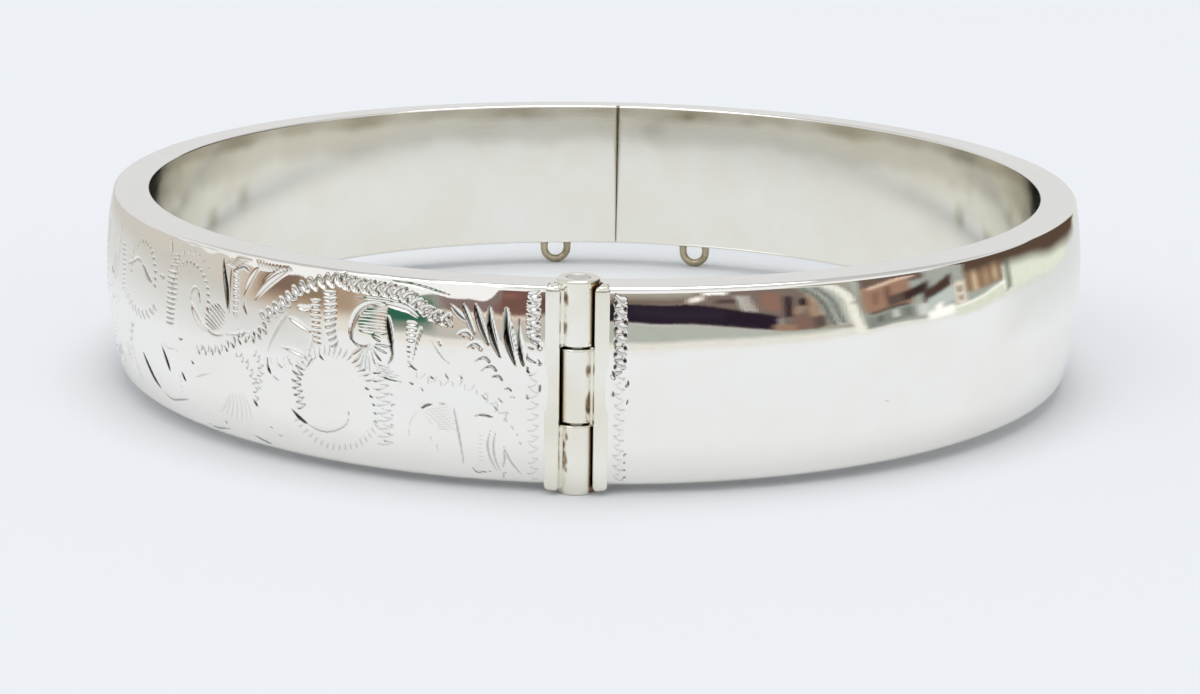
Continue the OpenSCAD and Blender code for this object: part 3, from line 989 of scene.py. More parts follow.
@dataclass
class HalfBand:
    """One half of the hollow band, as its outer skin, from the seat of the hinge to the clasp.

    still_edge is how far from the rims the face takes no cut and no wave. strips holds, for each strip of
    painted shade and tarnish inside, its depth under the rim, the sway and softness of its edge, and its
    share. A row of inside_marks is a mark's distance from the seam, its height, its width, its tallness
    and its share.
    """

    half: Half
    band: Band
    hinge: Hinge
    clasp: Clasp
    resting: Resting
    finishes: Finishes
    wave: float = 0.004
    seat_steps: tuple = (0.06, 0.15, 0.3, 0.45, 0.6, 0.75, 0.9, 1.0, 1.08, 1.14, 1.18, 1.2, 1.3)
    wall_x: float = 1.32
    end_blend: float = 0.15
    still_edge: float = 0.2
    # painted shade in the hollow that the seat cuts behind the barrel
    seat_shade: float = 0.7
    seam_round: tuple = (0.1, 0.45)
    # painted shade in the seam's wedge on the inside wall
    seam_shade: float = 0.6
    strips: tuple = ((1.15, 0.25, 0.6, 0.4), (3.1, 0.5, 0.9, 0.18))
    inside_marks: tuple = ()

    @property
    def clasp_x(self) -> float:
        """Where the half ends at the seam, along X."""
        return self.clasp.seam_x + self.half.value * self.clasp.gap / 2

    def clasp_angle(self, r: np.ndarray) -> np.ndarray:
        """Angle from the hinge at which radius r meets the plane of the seam: pi - side * asin(x / r)."""
        return math.pi - self.half.value * np.arcsin(self.clasp_x / r)

    @property
    def length(self) -> float:
        """Length of the face, from the point in front of the hinge pin to the seam."""
        return float(self.clasp_angle(self.band.outer_r)) * self.band.outer_r

    def seat_radius(self, z: np.ndarray) -> np.ndarray:
        """Radius of the seat at each height: open where the other half's knuckle turns, else fused.

        Args:
            z: heights.

        Returns:
            Radius about the hinge's axis.
        """
        middle = (z > self.hinge.low_z - self.hinge.gap) & (z < self.hinge.top_z + self.hinge.gap)
        is_open = middle if self.half is Half.ENGRAVED else ~middle
        return np.where(is_open, self.hinge.seat_r, self.hinge.fused_r)

    def depth_share(self, angle: np.ndarray, z: np.ndarray) -> np.ndarray:
        """Share of the band's depth left behind the barrel, where the seat cuts into it.

        Along a ray at that angle the seat's circle, of radius s about (0, y), begins at
        |y| cos a - sqrt(s * s - (y sin a) ** 2).

        Args:
            angle: angles from the hinge, as a column.
            z: heights, as a row.

        Returns:
            Shares, 1 away from the hinge.
        """
        y = -self.hinge.y
        s = self.seat_radius(z)
        off = y * np.sin(angle)
        reach = y * np.cos(angle) - np.sqrt(np.maximum(s**2 - off**2, 0))
        share = (reach - self.band.inner_r) / (self.band.outer_r - self.band.inner_r)
        beside_hinge = (angle < 1) & (self.band.outer_r * np.sin(angle) < self.wall_x - 0.005)
        return np.where(beside_hinge, share, 1.0)

    def skin(self, name: str, u: np.ndarray, rows: int, strokes: list[Stroke],
             last: bool) -> bpy.types.Object:
        """Carries the section round the band and sinks the cuts into its face.

        A point lies at radius inner + depth * share + wave - cut, at the angle u / outer, and at the
        section's height. Near the seam the angle is drawn over to the seam's flat plane.

        Args:
            name: name of the piece.
            u: distances along the face of its rings.
            rows: steps up the face.
            strokes: cuts to sink.
            last: whether the piece ends at the clasp, with the tongue's slot.

        Returns:
            The piece.
        """
        section = self.band.section(rows)
        column, row = u[:, None], section.z[None, :]
        heights = section.z[section.face]
        order = np.argsort(heights)
        engraver = Engraver(u, heights[order])
        for stroke in strokes:
            engraver.carve(stroke)
        cut, stain_and_shade = np.zeros((2, len(u), len(section.z)))
        face = np.flatnonzero(section.face)[order]
        cut[:, face], stain_and_shade[:, face] = engraver.depth, engraver.stain_and_shade
        angle = column / self.band.outer_r
        share = self.depth_share(angle, row)
        # painted shade where the seat hollows the band behind the barrel
        stain_and_shade = np.maximum(stain_and_shade, (share < 0.99) * self.seat_shade)
        inside = section.zone == Zone.INSIDE.value
        stain_and_shade[:, inside] = self.inside_shade_and_tarnish(column, row[:, inside])
        wave = polish_wave(column, row, self.wave) - self.worn_edge(column, row)
        to_rim = np.minimum(section.z, self.band.height - section.z)
        held = np.clip(to_rim / self.still_edge, 0, 1) * section.face
        r = self.band.inner_r + section.depth * share + (wave - cut) * held * (share == 1)
        if last:
            pull = np.clip((angle - angle.max() + self.end_blend) / self.end_blend, 0, 1) ** 2
            angle = angle + pull * (self.clasp_angle(r) - self.clasp_angle(self.band.outer_r))
            r = r + self.seam_easing(column, row) * (section.depth < self.band.edge_r * 0.7)
        rings = self.ring_points(r, angle, section.z)
        zone = np.broadcast_to(section.zone, (len(u) - 1, len(section.z)))
        coords = np.stack(np.broadcast_arrays(column, row, section.depth[None, :]), -1)
        sharp: tuple = ()
        if last:
            rings, extra = self.with_pocket(rings)
            zone = np.concatenate([zone, np.full((extra, zone.shape[1]), Zone.END.value)])
            stain_and_shade = np.concatenate([stain_and_shade, np.zeros((extra, stain_and_shade.shape[1]))])
            coords = np.concatenate([coords, np.repeat(coords[-1:], extra, 0)])
            sharp = (len(u) - 1, len(u))
        loft = Loft(rings, False, sharp, zone, stain_and_shade, coords)
        piece = loft.piece(name, self.resting, self.finishes.band(self.half))
        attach(piece, self.half.body)
        return piece

    def worn_edge(self, u: np.ndarray, z: np.ndarray) -> np.ndarray:
        """How far the face has been worn back towards its upper shoulder: nowhere."""
        return np.zeros(np.broadcast(u, z).shape)

    def inside_shade_and_tarnish(self, u: np.ndarray, z: np.ndarray) -> np.ndarray:
        """Painted shade and tarnish of the inside wall: two waved strips under the upper rim, marks, and the
        seam's wedge.

        Each strip, painted shade with some tarnish, covers the share clip((z - edge(u)) / softness, 0, 1),
        where edge(u) is a sum of sines. Each mark is a dark bell. The wedge is painted shade within e(z) of
        the seam, and e grows from 0.1 mm below to 0.48 mm at the top.

        Args:
            u: distances along the face, as a column.
            z: heights, as a row.

        Returns:
            Shares from 0 to 1.
        """
        top = self.band.height
        sway = 0.5 * np.sin(u * 0.43 + 1) + 0.3 * np.sin(u * 1.13) + 0.15 * np.sin(u * 2.9 + 2)
        patch = 0.75 + 0.35 * np.sin(u * 0.71 + 2.0) * np.sin(u * 0.23)
        # the strips are painted shade with some tarnish, darker towards the upper rim
        upper, lower = (share * np.clip((z - top + deep + swing * sway) / soft, 0, 1)
                        for deep, swing, soft, share in self.strips)
        e = 0.1 + 0.38 * np.clip(z / top, 0, 1) ** 1.5
        # the seam's wedge is painted shade
        wedge = self.seam_shade * np.clip((e - (self.length - u)) / (0.9 * e), 0, 1)
        marks = sum(share * np.exp(-((self.length - u - at) / wide) ** 2 - ((z - mid) / tall) ** 2)
                    for at, mid, wide, tall, share in self.inside_marks)
        return np.clip(np.maximum(upper * patch + lower + marks, wedge), 0, 1)

    def seam_easing(self, u: np.ndarray, z: np.ndarray) -> np.ndarray:
        """Rounds the inner wall's edge at the seam, most at the top, where it is worn by the clasp.

        With e the radius at a height and t the share of it covered, it is e * (1 - sqrt(1 - t * t)) / 2.

        Args:
            u: distances along the face, as a column.
            z: heights, as a row.

        Returns:
            How far the wall draws back.
        """
        low, high = self.seam_round
        e = low + (high - low) * np.clip(z / self.band.height, 0, 1) ** 1.5
        t = np.clip(1 - (self.length - u) / e, 0, 1)
        return e * (1 - np.sqrt(1 - t**2)) * 0.5

    def ring_points(self, r: np.ndarray, angle: np.ndarray, z: np.ndarray) -> np.ndarray:
        """Points at a radius, an angle from the hinge and a height: (side r sin a, -r cos a, z)."""
        parts = np.broadcast_arrays(self.half.value * r * np.sin(angle), -r * np.cos(angle), z)
        return np.stack(parts, -1)

    def with_pocket(self, rings: np.ndarray) -> tuple[np.ndarray, int]:
        """Closes the clasp end by a plate with the tongue's slot and a pocket behind it.

        The slot's outline is a rectangle with round corners, |y / a| ** n + |z / b| ** n = 1, met from the
        section's outline at equal angles about the slot's middle.

        Args:
            rings: rings of the skin, the last one in the plane of the seam.

        Returns:
            The rings with the slot's mouth and the pocket's floor, and the number added.
        """
        clasp, end = self.clasp, rings[-1]
        mid = np.array([self.clasp_x, self.band.inner_r + clasp.tongue_depth, self.band.height / 2])
        turn = np.arctan2(end[:, 2] - mid[2], end[:, 1] - mid[1])
        half_t, half_h = clasp.tongue_t / 2 + clasp.clear, clasp.tongue_h / 2 + clasp.clear
        c, s, n = np.cos(turn), np.sin(turn), clasp.squareness
        reach = (np.abs(c / half_t) ** n + np.abs(s / half_h) ** n) ** (-1 / n)
        mouth = np.stack([np.full(len(end), mid[0]), mid[1] + reach * c, mid[2] + reach * s], -1)
        floor = mouth + np.array([self.half.value * clasp.pocket, 0, 0])
        floor[:, 1] -= clasp.pocket**2 / (2 * (self.band.inner_r + self.band.outer_r))
        return np.concatenate([rings, mouth[None], floor[None]]), 2


@dataclass
class EngravedHalf(HalfBand):
    """The engraved half: three skins that meet edge to edge, each fine enough for its cuts.

    The ornament covers the face from the hinge to ornament_end.
    """

    ornament_end: float = 34.0
    rows: int = 170
    front_end: float = 27.5
    flank_end: float = 58.0
    columns: int = 415

    def strokes(self) -> list[Stroke]:
        """Lays the ornament three times: as read in front, turned over at the side, mirrored at the back."""
        ornament = ScrollOrnament().strokes()
        end = self.ornament_end
        room = self.length - 2 * end
        copies = [
            Placement(0.0, 1, False, 0.0, end),
            Placement(room, 1, True, end - room, end),
            Placement(self.length, -1, False, 0.0, end),
        ]
        return [s for copy in copies for s in copy.lay(ornament, self.band.height)]

    def worn_edge(self, u: np.ndarray, z: np.ndarray) -> np.ndarray:
        """Hand-worn shoulder: 0.045 * (z - 9.2 mm) ** 2, waved a little, from 4 mm beside the hinge.

        Args:
            u: distances along the face, as a column.
            z: heights, as a row.

        Returns:
            How far the face draws back.
        """
        start = np.clip((u - 3.9) / 1.0, 0, 1)
        ripple = 1 + 0.3 * np.sin(u * 2.3) * np.sin(u * 0.9 + 1)
        return 0.045 * np.clip(z - 9.2, 0, 1.1) ** 2 * start * ripple

    def build(self) -> None:
        """Builds the three skins."""
        strokes = self.strokes()
        stops = [self.wall_x + 0.01, self.front_end, self.flank_end, self.length]
        names = ["engraved_front", "engraved_flank", "engraved_back"]
        for i, name in enumerate(names):
            u = np.linspace(stops[i], stops[i + 1], self.columns)
            if i == 2:
                u = np.unique(np.concatenate([u, self.length - np.geomspace(0.01, 0.5, 10)]))
            if i == 0:
                u = np.concatenate([self.seat_steps, u])
            piece = self.skin(name, u, self.rows, strokes, i == 2)
            if i == 0:
                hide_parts("engraved_half")


@dataclass
class PlainHalf(HalfBand):
    """The plain half: one skin with the wriggle border beside the hinge and a few marks of wear."""

    rows: int = 120
    inside_marks: tuple = ((2.9, 8.8, 1.1, 0.7, 0.2), (6.0, 9.9, 0.5, 0.3, 0.2), (11.0, 9.7, 0.8, 0.3, 0.2))
    fine_end: float = 3.2
    fine_columns: int = 60
    columns: int = 455

    def strokes(self) -> list[Stroke]:
        """The border, and the scratches and specks that show on the polished face."""
        marks = [((18.9, 6.6), (19.5, 6.62), (20.2, 6.65)), ((21.4, 8.2), (21.45, 8.15), (21.5, 8.1)),
                 ((17.0, 3.6), (17.1, 3.62), (17.2, 3.66))]
        return [
            *wriggle([(2.18, 10.15), (2.2, 8.4), (2.18, 6.25)], 0.64, 0.6, 0.3, 0.1, 0.4, 0.36),
            *wriggle([(2.18, 6.2), (2.18, 3.4), (2.18, 0.35)], 0.56, 0.6, 0.15, 0.025, 0.35),
            *ladder([(2.45, 1.7), (2.45, 0.4)], [(2.62, 1.8), (2.62, 0.5)], 4, 0.18, 0.06, 0, 0.5, 0.95),
            Stroke(((1.78, 6.3), (1.84, 6.05), (1.98, 5.9)), 0.28, 0.08, 0.4, 0.95),
            Stroke(((2.6, 5.8), (2.56, 5.6), (2.45, 5.5)), 0.24, 0.08, 0.4, 0.95),
            Stroke(((1.8, 5.25), (1.84, 5.1), (1.9, 4.95)), 0.2, 0.06, 0.4, 0.9),
            Stroke(((2.58, 4.8), (2.56, 4.65), (2.52, 4.55)), 0.18, 0.06, 0.4, 0.85),
            *(Stroke(m, 0.09, 0.004) for m in marks),
        ]

    def build(self) -> None:
        """Builds the skin."""
        border = np.linspace(self.wall_x + 0.01, self.fine_end, self.fine_columns, endpoint=False)
        plain = np.linspace(self.fine_end, self.length - 0.55, self.columns)
        seam = self.length - np.geomspace(0.5, 0.01, 10)
        u = np.concatenate([self.seat_steps, border, plain, seam, [self.length]])
        piece = self.skin("plain_band", u, self.rows, self.strokes(), True)
        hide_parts("plain_half")


@dataclass
class BarrelHinge:
    """The knuckles, the bearer bars beside them and the pin."""

    band: Band
    hinge: Hinge
    resting: Resting
    finishes: Finishes
    turns: int = 128
    edge: float = 0.1
    bore_edge: float = 0.02
    bearer_rise: float = 0.13
    bearer_inner_r: float = 0.16
    bearer_end_r: float = 0.28
    fused_step: float = 0.26
    gap_angle: float = 0.6
    # painted shade on a knuckle's side in the gap beside the other half's bearer
    gap_shade: float = 0.92
    pit_seed: int = 11
    pit_count: int = 46

    def knuckle_profile(self, z0: float, z1: float) -> np.ndarray:
        """Closed profile of a knuckle, as (radius, height): a tube's wall with quarter-round edges.

        Args:
            z0: lower end.
            z1: upper end.

        Returns:
            Array of shape (n, 2).
        """
        h = self.hinge
        q = np.linspace(0, math.pi / 2, 6)
        e, b = self.edge, self.bore_edge
        height = np.linspace(z0 + e, z1 - e, 40)
        outer = np.stack([np.full(len(height), h.barrel_r), height], -1)
        top_out = np.stack([h.barrel_r - e + e * np.cos(q), z1 - e + e * np.sin(q)], -1)[1:]
        top_in = np.stack([h.bore_r + b - b * np.sin(q), z1 - b + b * np.cos(q)], -1)
        low_in = np.stack([h.bore_r + b - b * np.cos(q), z0 + b - b * np.sin(q)], -1)
        low_out = np.stack([h.barrel_r - e + e * np.sin(q), z0 + e - e * np.cos(q)], -1)[:-1]
        return np.concatenate([outer, top_out, top_in, low_in, low_out])

    def pits(self, angle: np.ndarray, z: np.ndarray, side: int) -> np.ndarray:
        """Depth of the pits that soldering leaves where a knuckle meets its own half's bearer.

        Each pit is a bell of depth d * exp(-(distance / size) ** 2) on the unrolled barrel.

        Args:
            angle: angles about the axis, 0 at the front and growing towards +X.
            z: heights.
            side: sign of the half's side along X.

        Returns:
            Depths, of the shape that angle and z make together.
        """
        rng = np.random.default_rng(self.pit_seed + side)
        depth = np.zeros(np.broadcast(angle, z).shape)
        for _ in range(self.pit_count):
            at_z = rng.uniform(-0.2, self.band.height)
            at_angle = side * rng.uniform(0.46, 0.8)
            size, deep = rng.uniform(0.05, 0.15), rng.uniform(0.015, 0.05)
            gap = np.hypot((angle - at_angle) * self.hinge.barrel_r, (z - at_z) * rng.uniform(0.35, 0.9))
            depth = depth + deep * np.exp(-(gap / size) ** 2)
        return depth

    def knuckle(self, name: str, z0: float, z1: float, half: Half) -> None:
        """Builds a knuckle: its profile turned about the hinge's axis, with the solder's pits.

        Its side is darkened with painted shade where it turns beside the other half's bearer, in the gap
        between them.

        Args:
            name: name of the piece.
            z0: lower end.
            z1: upper end.
            half: the half that it is soldered to.
        """
        profile = self.knuckle_profile(z0, z1)
        angle = np.linspace(-math.pi, math.pi, self.turns, endpoint=False)[:, None]
        r, z = profile[None, :, 0], profile[None, :, 1]
        outside = r > self.hinge.barrel_r - 1e-6
        pits = self.pits(angle, z, half.value) * outside
        r = r - pits
        # painted shade on the side in the gap beside the other bearer; below, pits are darkened by their
        # depth
        grime_and_shade = self.gap_shade * np.clip((-half.value * angle - self.gap_angle) / 0.07, 0, 1) * outside
        stain_and_shade = np.maximum(np.clip(pits / 0.035 - 0.25, 0, 0.85), grime_and_shade)
        points = np.stack(np.broadcast_arrays(r * np.sin(angle), self.hinge.y - r * np.cos(angle), z), -1)
        piece = Loft(points, closed=True, stain_and_shade=stain_and_shade).piece(name, self.resting, [self.finishes.soldered])
        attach(piece, half.body)

    def bearer_outline(self, seat: float, inner: float) -> np.ndarray:
        """Outline of a bearer bar from above, on the +X side, with the seat's hollow behind it.

        From its foot in the face it rises to its crest as half a cosine wave, turns in by a quarter
        circle, and goes back to the seat's circle, which it follows.

        Args:
            seat: radius of the seat.
            inner: distance from the hinge's middle at which its inner side meets the seat.

        Returns:
            Array of shape (n, 2).
        """
        h, ri = self.hinge, self.bearer_inner_r
        front = -(self.band.outer_r + h.bearer_out)
        t = np.linspace(0, 1, 12)
        slope = np.stack([h.bearer_foot + (h.bearer_crest - h.bearer_foot) * t,
                          front + self.bearer_rise * (1 + np.cos(np.pi * t)) / 2], -1)
        q = np.linspace(0, math.pi / 2, 8)
        near = np.stack([h.bearer_edge + ri - ri * np.sin(q), front + ri - ri * np.cos(q)], -1)
        a = np.linspace(math.asin(inner / seat), math.pi / 2, 12)
        hollow = np.stack([seat * np.sin(a), h.y - seat * np.cos(a)], -1)
        side = np.linspace(near[-1], hollow[0], 4)[1:-1]
        back = np.array([[h.bearer_foot, h.y - 0.02], [h.bearer_foot, (h.y + front) / 2]])
        return np.concatenate([slope, near, side, hollow, back])

    def bearer(self, name: str, half: Half) -> None:
        """Builds a bearer bar: its outline carried up, drawn in at both ends by a quarter circle.

        Args:
            name: name of the piece.
            half: the half that it is soldered to.
        """
        h = self.hinge
        low, high = -h.bearer_over, self.band.height + h.bearer_over
        q = np.linspace(0, math.pi / 2, 7)
        e = self.bearer_end_r
        thin = 0.01
        steps = [edge + side * thin for edge in (h.low_z - h.gap, h.top_z + h.gap) for side in (-1, 1)]
        body = np.sort(np.concatenate([np.linspace(low + e, high - e, 24), steps]))
        z = np.concatenate([low + e - e * np.cos(q[:-1]), body, high - e + e * np.sin(q[1:])])
        inset = np.concatenate([e - e * np.sin(q[:-1]), np.zeros(len(body)), e - e * np.cos(q[1:])])
        middle = (z > h.low_z - h.gap) & (z < h.top_z + h.gap)
        is_open = middle if half is Half.ENGRAVED else ~middle
        free = self.bearer_outline(h.seat_r, h.bearer_edge)
        fused = self.bearer_outline(h.fused_r, h.bearer_edge - self.fused_step)
        plan = np.where(is_open[:, None, None], free, fused)
        centre = plan.mean(1, keepdims=True)
        size = np.ptp(plan, axis=1, keepdims=True) / 2
        plan = centre + (plan - centre) * (1 - inset[:, None, None] / size)
        rings = np.stack(np.broadcast_arrays(half.value * plan[..., 0], plan[..., 1], z[:, None]), -1)
        piece = Loft(rings).piece(name, self.resting, [self.finishes.soldered])
        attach(piece, half.body)

    def pin(self) -> None:
        """Builds the pin: a cylinder whose ends are low domes, r * sqrt(1 - t * t)."""
        h = self.hinge
        dome, t = 0.02, np.sin(np.linspace(0, math.pi / 2 * 0.985, 10))
        low, high = -h.over + dome, self.band.height + h.over - dome
        z = np.concatenate([low - dome * t[::-1], high + dome * t])
        r = h.pin_r * np.sqrt(1 - np.concatenate([t[::-1], t]) ** 2)
        a = np.linspace(0, 2 * math.pi, 64, endpoint=False)[None, :]
        r = r[:, None]
        rings = np.stack(np.broadcast_arrays(r * np.cos(a), h.y + r * np.sin(a), z[:, None]), -1)
        piece = Loft(rings).piece("pin_wire", self.resting, [self.finishes.pin])
        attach(piece, Half.ENGRAVED.body)
        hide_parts("hinge_pin")

    def build(self) -> None:
        """Builds the three knuckles, the two bearers and the pin."""
        h = self.hinge
        self.knuckle("knuckle_bottom", -h.over, h.low_z - h.gap, Half.ENGRAVED)
        self.knuckle("knuckle_middle", h.low_z, h.top_z, Half.PLAIN)
        self.knuckle("knuckle_top", h.top_z + h.gap, self.band.height + h.over, Half.ENGRAVED)
        self.bearer("bearer_engraved", Half.ENGRAVED)
        self.bearer("bearer_plain", Half.PLAIN)
        self.pin()


@dataclass
class ChainLoop:
    """A half-round wire loop soldered under the lower rim."""

    name: str
    half: Half
    x: float
    band: Band
    resting: Resting
    finishes: Finishes
    width: float = 2.3
    drop: float = 1.7
    wire: float = 0.55
    row_r: float = 28.55
    root: float = 0.16
    flare: float = 0.55
    flare_reach: float = 0.28

    def build(self) -> None:
        """Carries a circle down one leg, round the bend and up the other, flared by solder at its roots.

        The wire's radius is wire / 2 * (1 + flare * exp(-(distance to the root / flare_reach) ** 2)).
        """
        bend = (self.width - self.wire) / 2
        leg = self.drop - self.wire / 2 - bend
        q = np.linspace(0, math.pi, 40)
        down = np.linspace(self.root, -leg, 8, endpoint=False)
        path_x = np.concatenate([np.full(8, -bend), -bend * np.cos(q), np.full(8, bend)])
        path_z = np.concatenate([down, -leg - bend * np.sin(q), down[::-1]])
        way_x, way_z = np.gradient(path_x), np.gradient(path_z)
        norm = np.hypot(way_x, way_z)
        out_x, out_z = way_z / norm, -way_x / norm
        r = self.wire / 2 * (1 + self.flare * np.exp(-((self.root - path_z) / self.flare_reach) ** 2))
        a = np.linspace(0, 2 * math.pi, 28, endpoint=False)[None, :]
        x = path_x[:, None] + r[:, None] * np.cos(a) * out_x[:, None]
        z = path_z[:, None] + r[:, None] * np.cos(a) * out_z[:, None]
        y = self.row_r + r[:, None] * np.sin(a)
        turn = math.asin(self.x / self.row_r)
        c, s = math.cos(turn), math.sin(turn)
        rings = np.stack([x * c + y * s, y * c - x * s, z], -1)
        piece = Loft(rings).piece(self.name, self.resting, [self.finishes.wire])
        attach(piece, self.half.body)


@dataclass(frozen=True)
class Card:
    """A plain coloured card round the set, measured in degrees of azimuth and elevation from the bangle.

    Azimuth 0 is towards the camera and grows towards the plain half. slope slants the card's lower edge,
    and its upper edge too unless that has a slope of its own. lean slants its sides, and curl bends them
    over above the horizon. share is how much of what lies behind it the card covers.
    """

    az: tuple
    el: tuple
    colour: str
    slope: float = 0.0
    soft: float = 0.5
    corner: float = 0.6
    glow: float = 1.0
    top_slope: float | None = None
    lean: float = 0.0
    curl: float = 0.0
    share: float = 1.0

    def cover(self, az: np.ndarray, el: np.ndarray) -> np.ndarray:
        """How much of each direction the card covers: a rectangle with round corners and soft edges.

        Args:
            az: azimuths in degrees.
            el: elevations in degrees.

        Returns:
            Shares from 0 to 1.
        """
        off = az - sum(self.az) / 2 + self.lean * el + self.curl * np.maximum(el, 0) ** 2
        low = self.el[0] + self.slope * off
        high = self.el[1] + (self.slope if self.top_slope is None else self.top_slope) * off
        d_az = np.abs(off) - (self.az[1] - self.az[0]) / 2 + self.corner
        d_el = np.abs(el - (low + high) / 2) - (high - low) / 2 + self.corner
        out = np.hypot(np.maximum(d_az, 0), np.maximum(d_el, 0)) + np.minimum(np.maximum(d_az, d_el), 0)
        return self.share * np.clip(0.5 - (out - self.corner) / self.soft, 0, 1)


